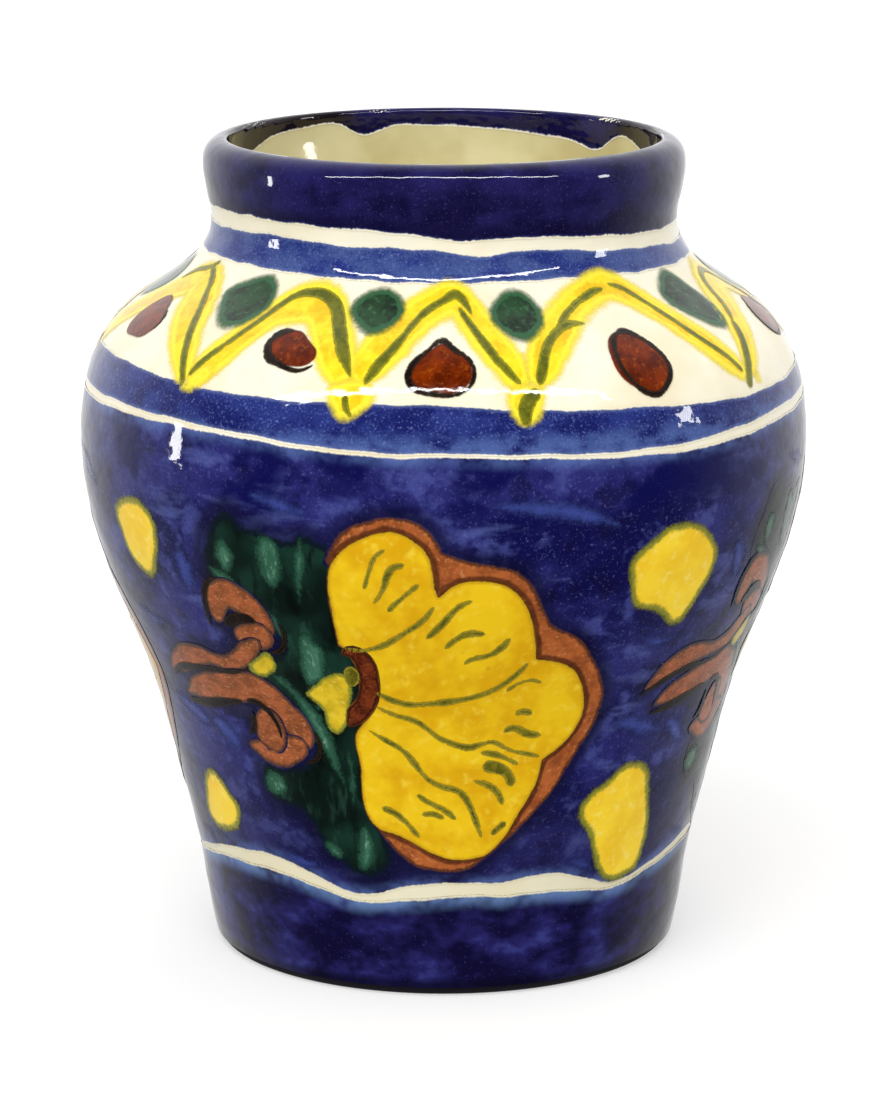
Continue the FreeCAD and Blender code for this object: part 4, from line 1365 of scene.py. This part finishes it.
    bud_lines: Sequence[Brush] = (
        (((-61, 47.2), (-56.6, 49.4), (-50, 50.5), (-44, 51), (-39, 51.5), (-35.6, 52.6)),
         (1, 1.5, 1.5, 1.2, 1.2, 0.8)),
        (((-39.4, 46.6), (-36.4, 46.7), (-34, 45.2), (-32.6, 42.8), (-32.6, 40.8)),
         (1.2, 1.4, 1.3, 1.1, 0.7)),
        (((-38.6, 59.2), (-36.4, 60.5), (-33.8, 61), (-31.6, 60.6)), (1.8, 2.3, 2, 1)),
        (((-57.6, 44), (-50, 44.7), (-44, 45.7), (-40, 46.4)), (1.2, 1.8, 1.8, 1.2)),
        (((-27.8, 61.4), (-26.9, 58.8), (-28.2, 56.4), (-30.8, 55.8)), (0.7, 1.1, 1.2, 0.7)),
        (((-41.8, 58.2), (-41.9, 62), (-40.4, 65.8), (-37.6, 67.2)), (0.8, 1.4, 1.4, 0.7)),
        (((-40.6, 40.6), (-38.8, 42.4), (-38.4, 45.2)), (1, 1.5, 1)),
        (((-25, 43.6), (-24.2, 41.4), (-25, 38.8), (-28, 37.6)), (0.7, 1.1, 1.2, 0.7)))
    washes: Sequence[Brush] = (
        (((32.6, 43.8), (38, 42.9), (43, 41.6), (48, 40.4)), (2.6, 4.2, 4.4, 2.4)),
        (((52.4, 71), (54.2, 68), (53.4, 64.4)), (2.6, 5, 3)),
        (((33, 58.6), (38, 56.6), (44, 57.2)), (2.4, 3.6, 2)),
        (((26.6, 21.2), (31, 20.6), (35, 18.6)), (2, 3, 1.6)),
        (((-52, 42.4), (-47, 40.2), (-43.6, 37)), (3, 5, 2.6)),
        (((-47, 70.4), (-44.6, 66.6), (-45.4, 62.4)), (3, 4.6, 2.4)),
        (((6, 80.6), (14, 79.8), (22, 78.2), (28, 76)), (2.4, 3.8, 4.2, 2.6)),
        (((-38, 22), (-33, 20.8), (-28, 20.4)), (2.4, 3, 1.6)),
        (((-31, 81), (-25, 79.6), (-20, 78.6)), (2, 3.6, 2)))
    veins: Sequence[tuple[Points, float]] = (
        (((-1.4, 65.4), (-3, 63.2), (-6, 61), (-10, 58.6), (-13.2, 57.7), (-16.8, 57.8)), 0.75),
        (((14.4, 55.8), (12.4, 53.8), (9.6, 51.8), (5.2, 50.2), (-1, 49.2), (-7.6, 49.1), (-10.4, 50),
         (-12.2, 50.9)), 0.9),
        (((-12.4, 48.5), (-9.2, 47.1), (-5, 46), (-1.6, 43.8), (2.2, 42.2), (4.8, 41.7), (8.8, 42.5),
         (12, 41.2), (15.6, 40.3), (18.8, 39.5)), 0.85),
        (((-14.4, 44.5), (-11, 42.8), (-8, 41.3), (-5.4, 38.8), (-3, 36.4), (0, 35.2), (3, 34.4), (5, 32.2),
         (6.6, 29.2), (7.8, 26.4)), 0.8),
        (((-8.6, 74), (-10.4, 72.6), (-11.4, 70.2), (-12.4, 67.4)), 0.75),
        (((-5.6, 71.7), (-7.8, 71), (-9.2, 68), (-11.2, 65.2)), 0.85),
        (((-3.6, 68.8), (-6, 66.8), (-8.9, 64.1)), 0.8),
        (((4.6, 66.1), (2.4, 65.2), (0, 62.6), (-3, 59.8)), 0.85),
        (((6.8, 60.6), (4.4, 60.8), (2, 59.9), (0, 58.2)), 0.9),
        (((10.8, 60), (9.2, 58.2), (7, 57), (5, 56.7), (3.1, 55.5)), 0.9),
        (((17.2, 51.9), (15.4, 52.6), (13.2, 52.3), (10.6, 50.8)), 0.7),
        (((16.2, 46.7), (14.5, 47.4), (12.6, 46.9)), 0.85),
        (((18.5, 43.2), (15, 43.8), (12.6, 44.7), (10.8, 43.9)), 0.9),
        (((6.6, 40.8), (9, 40.6), (12, 39.6), (14.6, 38.4)), 0.75),
        (((7.2, 38.6), (9.6, 38.3), (12, 37.4), (13.4, 34.8)), 1.5),
        (((5.4, 36.3), (8, 35.6), (10.2, 34.4), (11.8, 31.8)), 0.95),
        (((-12.8, 31.5), (-9.6, 30.5), (-7.4, 29), (-4.8, 26.4)), 0.9),
        (((-5.6, 34.1), (-3.4, 32.8), (0, 31.4), (2.6, 29.6)), 0.9),
        (((-4.8, 30.5), (-2, 30.7), (0.2, 29.8)), 0.7),
        (((9.6, 27), (11.2, 28.2), (12.8, 29.2)), 0.8))
    vein_press: float = 1.5
    bud_spread: float = 0.9


@dataclass
class Belly:
    """The flowers round the belly, with the yellow spots between them.

    Attributes:
        places: degrees round the vase of each flower's centre, and how wide it is drawn.
        spots: the spots in front.
        hand: how far the hand strays on the flowers behind, in degrees and millimetres.
        leaf_seed, heart_seed, bud_seed, line_seed: where each motif's draws start after its flower's.
    """
    wall: Wall
    places: Sequence[tuple[float, float]] = ((0, 1), (98, 0.98), (181, 0.84), (-95.5, 0.94))
    spots: Sequence[Points] = (
        ((-62.8, 74), (-60.2, 76.2), (-56, 77.2), (-51.8, 76.4), (-49.6, 73.4), (-49.8, 70.2), (-51.4, 66.6),
         (-54.4, 63.8), (-58, 64.8), (-61, 67.6), (-62.4, 71)),
        ((-64, 24), (-63, 27.4), (-60.6, 31.4), (-57.6, 33), (-54.2, 32.6), (-50.4, 30), (-48, 28),
         (-49, 24.8), (-51.8, 22.8), (-56, 22), (-61, 21.8)),
        ((29, 70.6), (31.4, 73), (34.8, 75.2), (39, 76), (43, 75), (46.2, 72.4), (48, 69.6), (47.2, 65.4),
         (45, 61.8), (42.8, 58.6), (40.4, 58.4), (37.6, 60.4), (34.4, 61.8), (31.2, 62.8), (29.6, 66.6)),
        ((28, 29.8), (30.4, 32.8), (34, 34.4), (37, 36.2), (41, 36.8), (45, 35.6), (47.6, 32.2), (49, 28.6),
         (50.4, 24.6), (50.6, 20.6), (48.8, 17.2), (44.8, 16.2), (39.6, 16), (35.6, 18.4), (32.8, 22.8),
         (30.8, 25.8), (28.4, 27.8)))

    hand: float = 0.35
    leaf_seed: int = 20
    heart_seed: int = 24
    bud_seed: int = 30
    line_seed: int = 50

    def _placed(self, points: Points, place: tuple[float, float], shake: float, seed: int) -> list:
        """Points of a motif moved to a flower's place and shaken a little, as a hand repeats it."""
        rng = np.random.default_rng(seed)
        middle, stretch = place
        return [(middle + a * stretch + rng.uniform(-shake, shake), h + rng.uniform(-shake, shake))
                for a, h in points]

    def _joined(self, stretches: Sequence[Points], place: tuple[float, float], shake: float,
                seed: int) -> np.ndarray:
        """Outline of smooth stretches moved to a flower's place, whose ends still meet."""
        ends: dict = {}
        moved = []
        for i, points in enumerate(stretches):
            line = self._placed(points, place, shake, seed + i)
            line[0] = ends.setdefault(points[0], line[0])
            line[-1] = ends.setdefault(points[-1], line[-1])
            moved.append(line)
        return cornered_path(moved, 0.7)

    def _flowers(self) -> list[tuple[tuple[float, float], float, int]]:
        """Place, shake and seed of each flower; the hand strays by nothing on the one in front."""
        return [(place, self.hand if i else 0.0, 100 * i) for i, place in enumerate(self.places)]

    def motifs(self) -> list[np.ndarray]:
        """Outlines that the blue ground darkens round."""
        flower = Flower()
        found = []
        for place, shake, seed in self._flowers():
            found.append(self._joined(flower.border, place, shake, seed))
            leaf = self._placed(flower.leaf, place, shake, seed + self.leaf_seed)
            found.append(smooth_path(leaf, 1.5, closed=True))
            for j, (points, _) in enumerate(flower.buds):
                found.append(smooth_path(self._placed(points, place, shake, seed + self.bud_seed + j), 1.5))
        return found

    def near(self, angle: np.ndarray, height: np.ndarray) -> np.ndarray:
        """Distance in millimetres from the painted motifs of each place on the belly."""
        best = np.full(len(angle), 60.0)
        places = np.column_stack([angle * DEGREE_MM, height])
        for outline in self.motifs():
            for lap in (-TURN, 0, TURN):
                line = (outline + [lap, 0]) * [DEGREE_MM, 1.0]
                low, high = line[:, 0].min() - 5, line[:, 0].max() + 5
                close = np.flatnonzero((places[:, 0] > low) & (places[:, 0] < high))
                if len(close):
                    gap = distance_to(places[close], line, closed=False)
                    gap[inside_of(places[close], line)] = 0
                    best[close] = np.minimum(best[close], gap)
        return best

    def build(self) -> None:
        """Makes each layer of the flowers, then the spots."""
        flower, wall = Flower(), self.wall
        names = ("leaf", "leaf_strokes", "border", "petals", "heart", "arc", "arc_light", "buds", "bud_lines",
                 "veins", "washes")
        made = {name: Piece(wall, name) for name in names}
        for place, shake, seed in self._flowers():
            petals = self._joined(flower.petals, place, shake, seed)
            border = self._joined(flower.border, place, shake, seed)
            leaf = self._placed(flower.leaf, place, shake, seed + self.leaf_seed)
            made["leaf"].patch(smooth_path(leaf, 0.7, closed=True), Level.BAND, Level.LEAF)
            made["border"].patch(border, Level.LEAF, Level.RUST, near=petals)
            made["petals"].patch(petals, Level.RUST, Level.PETAL)
            for outline in (flower.heart, flower.fleck):
                heart = self._placed(outline, place, shake, seed + self.heart_seed)
                made["heart"].patch(smooth_path(heart, 0.5, closed=True), Level.LEAF + 0.01,
                                    Level.PETAL + 0.02)
            for j, (points, width) in enumerate(flower.buds):
                width = [w + flower.bud_spread for w in width]
                bud = self._placed(points, place, shake, seed + self.bud_seed + j)
                made["buds"].stroke(bud, width, Level.LEAF, Level.RUST + 0.008 * j, blunt=5)
            veins = [(points, width * flower.vein_press) for points, width in flower.veins]
            lone = {"arc": [flower.arc], "arc_light": [flower.arc_light], "leaf_strokes": flower.leaf_strokes,
                    "bud_lines": flower.bud_lines, "veins": veins, "washes": flower.washes}
            seats = {"arc": (Level.RUST, Level.LINE), "arc_light": (Level.LINE, Level.LINE + 0.03),
                     "leaf_strokes": (Level.LEAF, Level.RUST - 0.01),
                     "bud_lines": (Level.PETAL, Level.LINE + 0.02),
                     "veins": (Level.PETAL, Level.LINE), "washes": (Level.BAND, Level.LEAF)}
            for name, strokes in lone.items():
                for j, (points, width) in enumerate(strokes):
                    self._line(made[name], points, width, place, shake, seed + self.line_seed + j,
                               *seats[name])
        self._finish(made)
        spots = Piece(wall, "yellow_spot_patches")
        for outline in self._spots():
            spots.patch(smooth_path(outline, 0.6, closed=True), Level.LEAF, Level.PETAL)
        spots.finish(Finish.SPOT.material(), "spot_yellow", "yellow_spots")

    def _line(self, piece: Piece, points: Points, width: float | Sequence[float], place: tuple[float, float],
              shake: float, seed: int, seat: float, top: float) -> None:
        """One brush line of a flower, pressed harder in its middle unless its widths are given."""
        if not np.ndim(width):
            rng = np.random.default_rng(seed)
            width = [width * rng.uniform(0.75, 1.25) for _ in points]
        piece.stroke(self._placed(points, place, shake, seed), width, seat, top)

    def _spots(self) -> list[Points]:
        """The four spots in front, and the same shapes again behind."""
        found = list(self.spots)
        rng = np.random.default_rng(5)
        for middle, stretch in self.places[2:]:
            for upper, height in ((0, 70.5), (1, 26.8)):
                shape = np.array(self.spots[2 + upper])
                centre = shape.mean(axis=0)
                turned = (shape - centre) * [rng.uniform(-0.9, -0.75), rng.uniform(0.7, 0.9)]
                found.append([tuple(p) for p in turned + [middle - 58 * stretch, height]])
        return found

    @staticmethod
    def _finish(made: dict[str, Piece]) -> None:
        """Names the layers of the flowers, dresses them and hides the imported nodes that they replace."""
        rows = (
            ("leaf", "leaf_green_patches", Finish.LEAF, "leaf_green", ("flower_leaves",)),
            ("leaf_strokes", "leaf_pale_strokes", Finish.LEAF_LIGHT, "leaf_green", ()),
            ("border", "flower_rust_edges", Finish.RUST, "rust", ("flower_rust_borders",)),
            ("petals", "flower_petal_patches", Finish.PETAL, "petal_yellow", ("flower_petals",)),
            ("heart", "flower_heart_patches", Finish.HEART, "petal_yellow", ("flower_hearts",)),
            ("arc", "flower_arc_strokes", Finish.ARC, "rust_dark", ("flower_centre_arcs",)),
            ("arc_light", "flower_arc_lights", Finish.VEIN, "olive_line", ()),
            ("buds", "bud_strokes", Finish.BUD, "rust", ("flower_buds",)),
            ("bud_lines", "bud_dark_lines", Finish.DARK_LINE, "dark_line", ()),
            ("veins", "petal_vein_strokes", Finish.VEIN, "olive_line", ("petal_veins",)),
            ("washes", "ground_wash_strokes", Finish.WASH, "body_blue", ()))
        for key, name, finish, slot, nodes in rows:
            made[key].name = name
            made[key].finish(finish.material(), slot, *nodes)


# ---------------------------------------------------------------- studio

@dataclass(frozen=True)
class Lamp:
    """A soft rectangular lamp that faces the vase; lengths in metres.

    Attributes:
        name: of the lamp.
        azimuth: degrees round from the front, growing towards +X.
        elevation: degrees above the vase's middle.
        distance: from the vase.
        size: width and height.
        glow: how bright its face is, where 1 is white.
    """
    name: str
    azimuth: float
    elevation: float
    distance: float
    size: tuple[float, float]
    glow: float

    def place(self, middle: Vector) -> None:
        """Hangs the lamp where it only shows as a shine on the glaze."""
        width, height = self.size
        light = bpy.data.lights.new(self.name, "AREA")
        light.shape = "RECTANGLE"
        light.size, light.size_y = width, height
        light.energy = self.glow * math.pi * width * height
        lamp = hang(self.name, light, middle, self.azimuth, self.elevation, self.distance)
        lamp.visible_camera = False
        lamp.visible_diffuse = False


@dataclass(frozen=True)
class Sun:
    """Broad daylight that shades the vase and throws its soft shadow.

    Attributes:
        name: of the light.
        azimuth: degrees round from the front, growing towards +X.
        elevation: degrees above the floor.
        strength: light on a surface that faces it.
        spread: degrees across its disc, so its softness.
    """
    name: str
    azimuth: float
    elevation: float
    strength: float
    spread: float = 50.0

    def place(self, middle: Vector) -> None:
        """Hangs the light, which never shows as a shine."""
        light = bpy.data.lights.new(self.name, "SUN")
        light.energy = self.strength * math.pi
        light.angle = math.radians(self.spread)
        sun = hang(self.name, light, middle, self.azimuth, self.elevation, 1.0)
        sun.visible_glossy = False


def hang(name: str, light: bpy.types.Light, middle: Vector, azimuth: float, elevation: float,
         distance: float) -> bpy.types.Object:
    """Places a light round the vase and turns it to face the middle."""
    lamp = bpy.data.objects.new(name, light)
    bpy.context.scene.collection.objects.link(lamp)
    turn, lift = math.radians(azimuth), math.radians(elevation)
    away = Vector((math.sin(turn) * math.cos(lift), -math.cos(turn) * math.cos(lift), math.sin(lift)))
    lamp.location = middle + away * distance
    lamp.rotation_euler = (-away).to_track_quat("-Z", "Y").to_euler()
    return lamp


@dataclass
class Studio:
    """Pale floor, soft white surround, lamps and the camera; lengths in metres."""
    middle: Vector
    camera_distance: float = 0.7149
    camera_height: float = 0.2196
    camera_pitch: float = 12.46
    camera_shift: float = 0.0003
    lens: float = 152.9
    surround: float = 0.75
    floor_glow: float = 0.45
    shine_front: float = 0.04
    shine_back: float = 1.2
    shine_below: float = 0.6
    lights: Sequence[Lamp | Sun] = (
        Sun("key_light", -15, 43, 0.55),
        Sun("back_light", 160, 45, 0.12),
        Lamp("ceiling_strip", 0, 54, 0.9, (1.9, 0.05), 30),
        Lamp("left_lamp", -89, 1, 1, (0.07, 0.24), 18),
        Lamp("right_lamp", 81, 14, 1, (0.12, 0.16), 16))

    def build(self) -> None:
        """Sets the whole stage up."""
        self._floor()
        self._world()
        for light in self.lights:
            light.place(self.middle)
        self._camera()
        scene = bpy.context.scene
        scene.view_settings.view_transform = "Standard"
        scene.view_settings.look = "None"

    def _floor(self) -> None:
        """A wide plain floor, white with a breath of grain."""
        bm = bmesh.new()
        bmesh.ops.create_grid(bm, x_segments=8, y_segments=8, size=6.0)
        mesh = bpy.data.meshes.new("floor")
        bm.to_mesh(mesh)
        bm.free()
        shader = Shader("floor_white")
        tone = shader.mix(shader.noise(3, 2, 0.5), srgb("#CDCDCD"), srgb("#C9C9C9"))
        surface = shader.surface
        shader.feed(surface.inputs["Base Color"], tone)
        surface.inputs["Roughness"].default_value = 0.9
        surface.inputs["Specular IOR Level"].default_value = 0.0
        surface.inputs["Emission Color"].default_value = (1.0, 1.0, 1.0, 1.0)
        surface.inputs["Emission Strength"].default_value = self.floor_glow
        mesh.materials.append(shader.material)
        floor = bpy.data.objects.new("floor", mesh)
        bpy.context.scene.collection.objects.link(floor)
        floor.visible_glossy = False
        floor.visible_diffuse = False
        floor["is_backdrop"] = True

    def _world(self) -> None:
        """White surround; in the glaze it shines from behind and is dark in front."""
        world = bpy.data.worlds.new("surround")
        bpy.context.scene.world = world
        world.use_nodes = True
        nodes = Nodes(world.node_tree)
        seen = nodes.node("ShaderNodeLightPath", {}, {}, "Is Camera Ray")
        shine = Value(nodes, seen.socket.node.outputs["Is Glossy Ray"])
        way = nodes.node("ShaderNodeTexCoord", {}, {}, "Generated")
        behind = nodes.node("ShaderNodeSeparateXYZ", {}, {0: way}, "Y").rise(-0.4, 1.1)
        above = nodes.node("ShaderNodeSeparateXYZ", {}, {0: way}, "Z").rise(-0.4, 0.0)
        glow = behind * (self.shine_back - self.shine_front) + self.shine_front
        glow = glow * (above * (1 - self.shine_below) + self.shine_below)
        strength = (1 - shine) * self.surround + shine * glow + seen * (1 - self.surround)
        nodes.feed(world.node_tree.nodes["Background"].inputs["Color"], (1.0, 1.0, 1.0, 1.0))
        nodes.feed(world.node_tree.nodes["Background"].inputs["Strength"], strength)

    def _camera(self) -> None:
        """A long lens that looks a little down on the front."""
        camera = bpy.data.cameras.new("camera")
        camera.lens = self.lens
        camera.sensor_width = 36.0
        camera.clip_end = 20
        holder = bpy.data.objects.new("camera", camera)
        bpy.context.scene.collection.objects.link(holder)
        holder.location = (self.camera_shift, -self.camera_distance, self.camera_height)
        holder.rotation_euler = Euler((math.radians(90 - self.camera_pitch), 0, 0))
        bpy.context.scene.camera = holder


def main() -> None:
    """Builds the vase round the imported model, then the studio."""
    logging.basicConfig(level=logging.INFO, format="%(name)s: %(message)s")
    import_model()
    cad_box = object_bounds()
    low, high = cad_box
    wall = Wall(scale=(high[2] - low[2]) / (127.0 * MM))
    belly = Belly(wall)
    Body(wall).build()
    Bands(wall).build(belly.near)
    Zigzag(wall).build()
    belly.build()
    Studio(Vector((0, 0, high[2] / 2))).build()


if __name__ == "__main__":
    main()
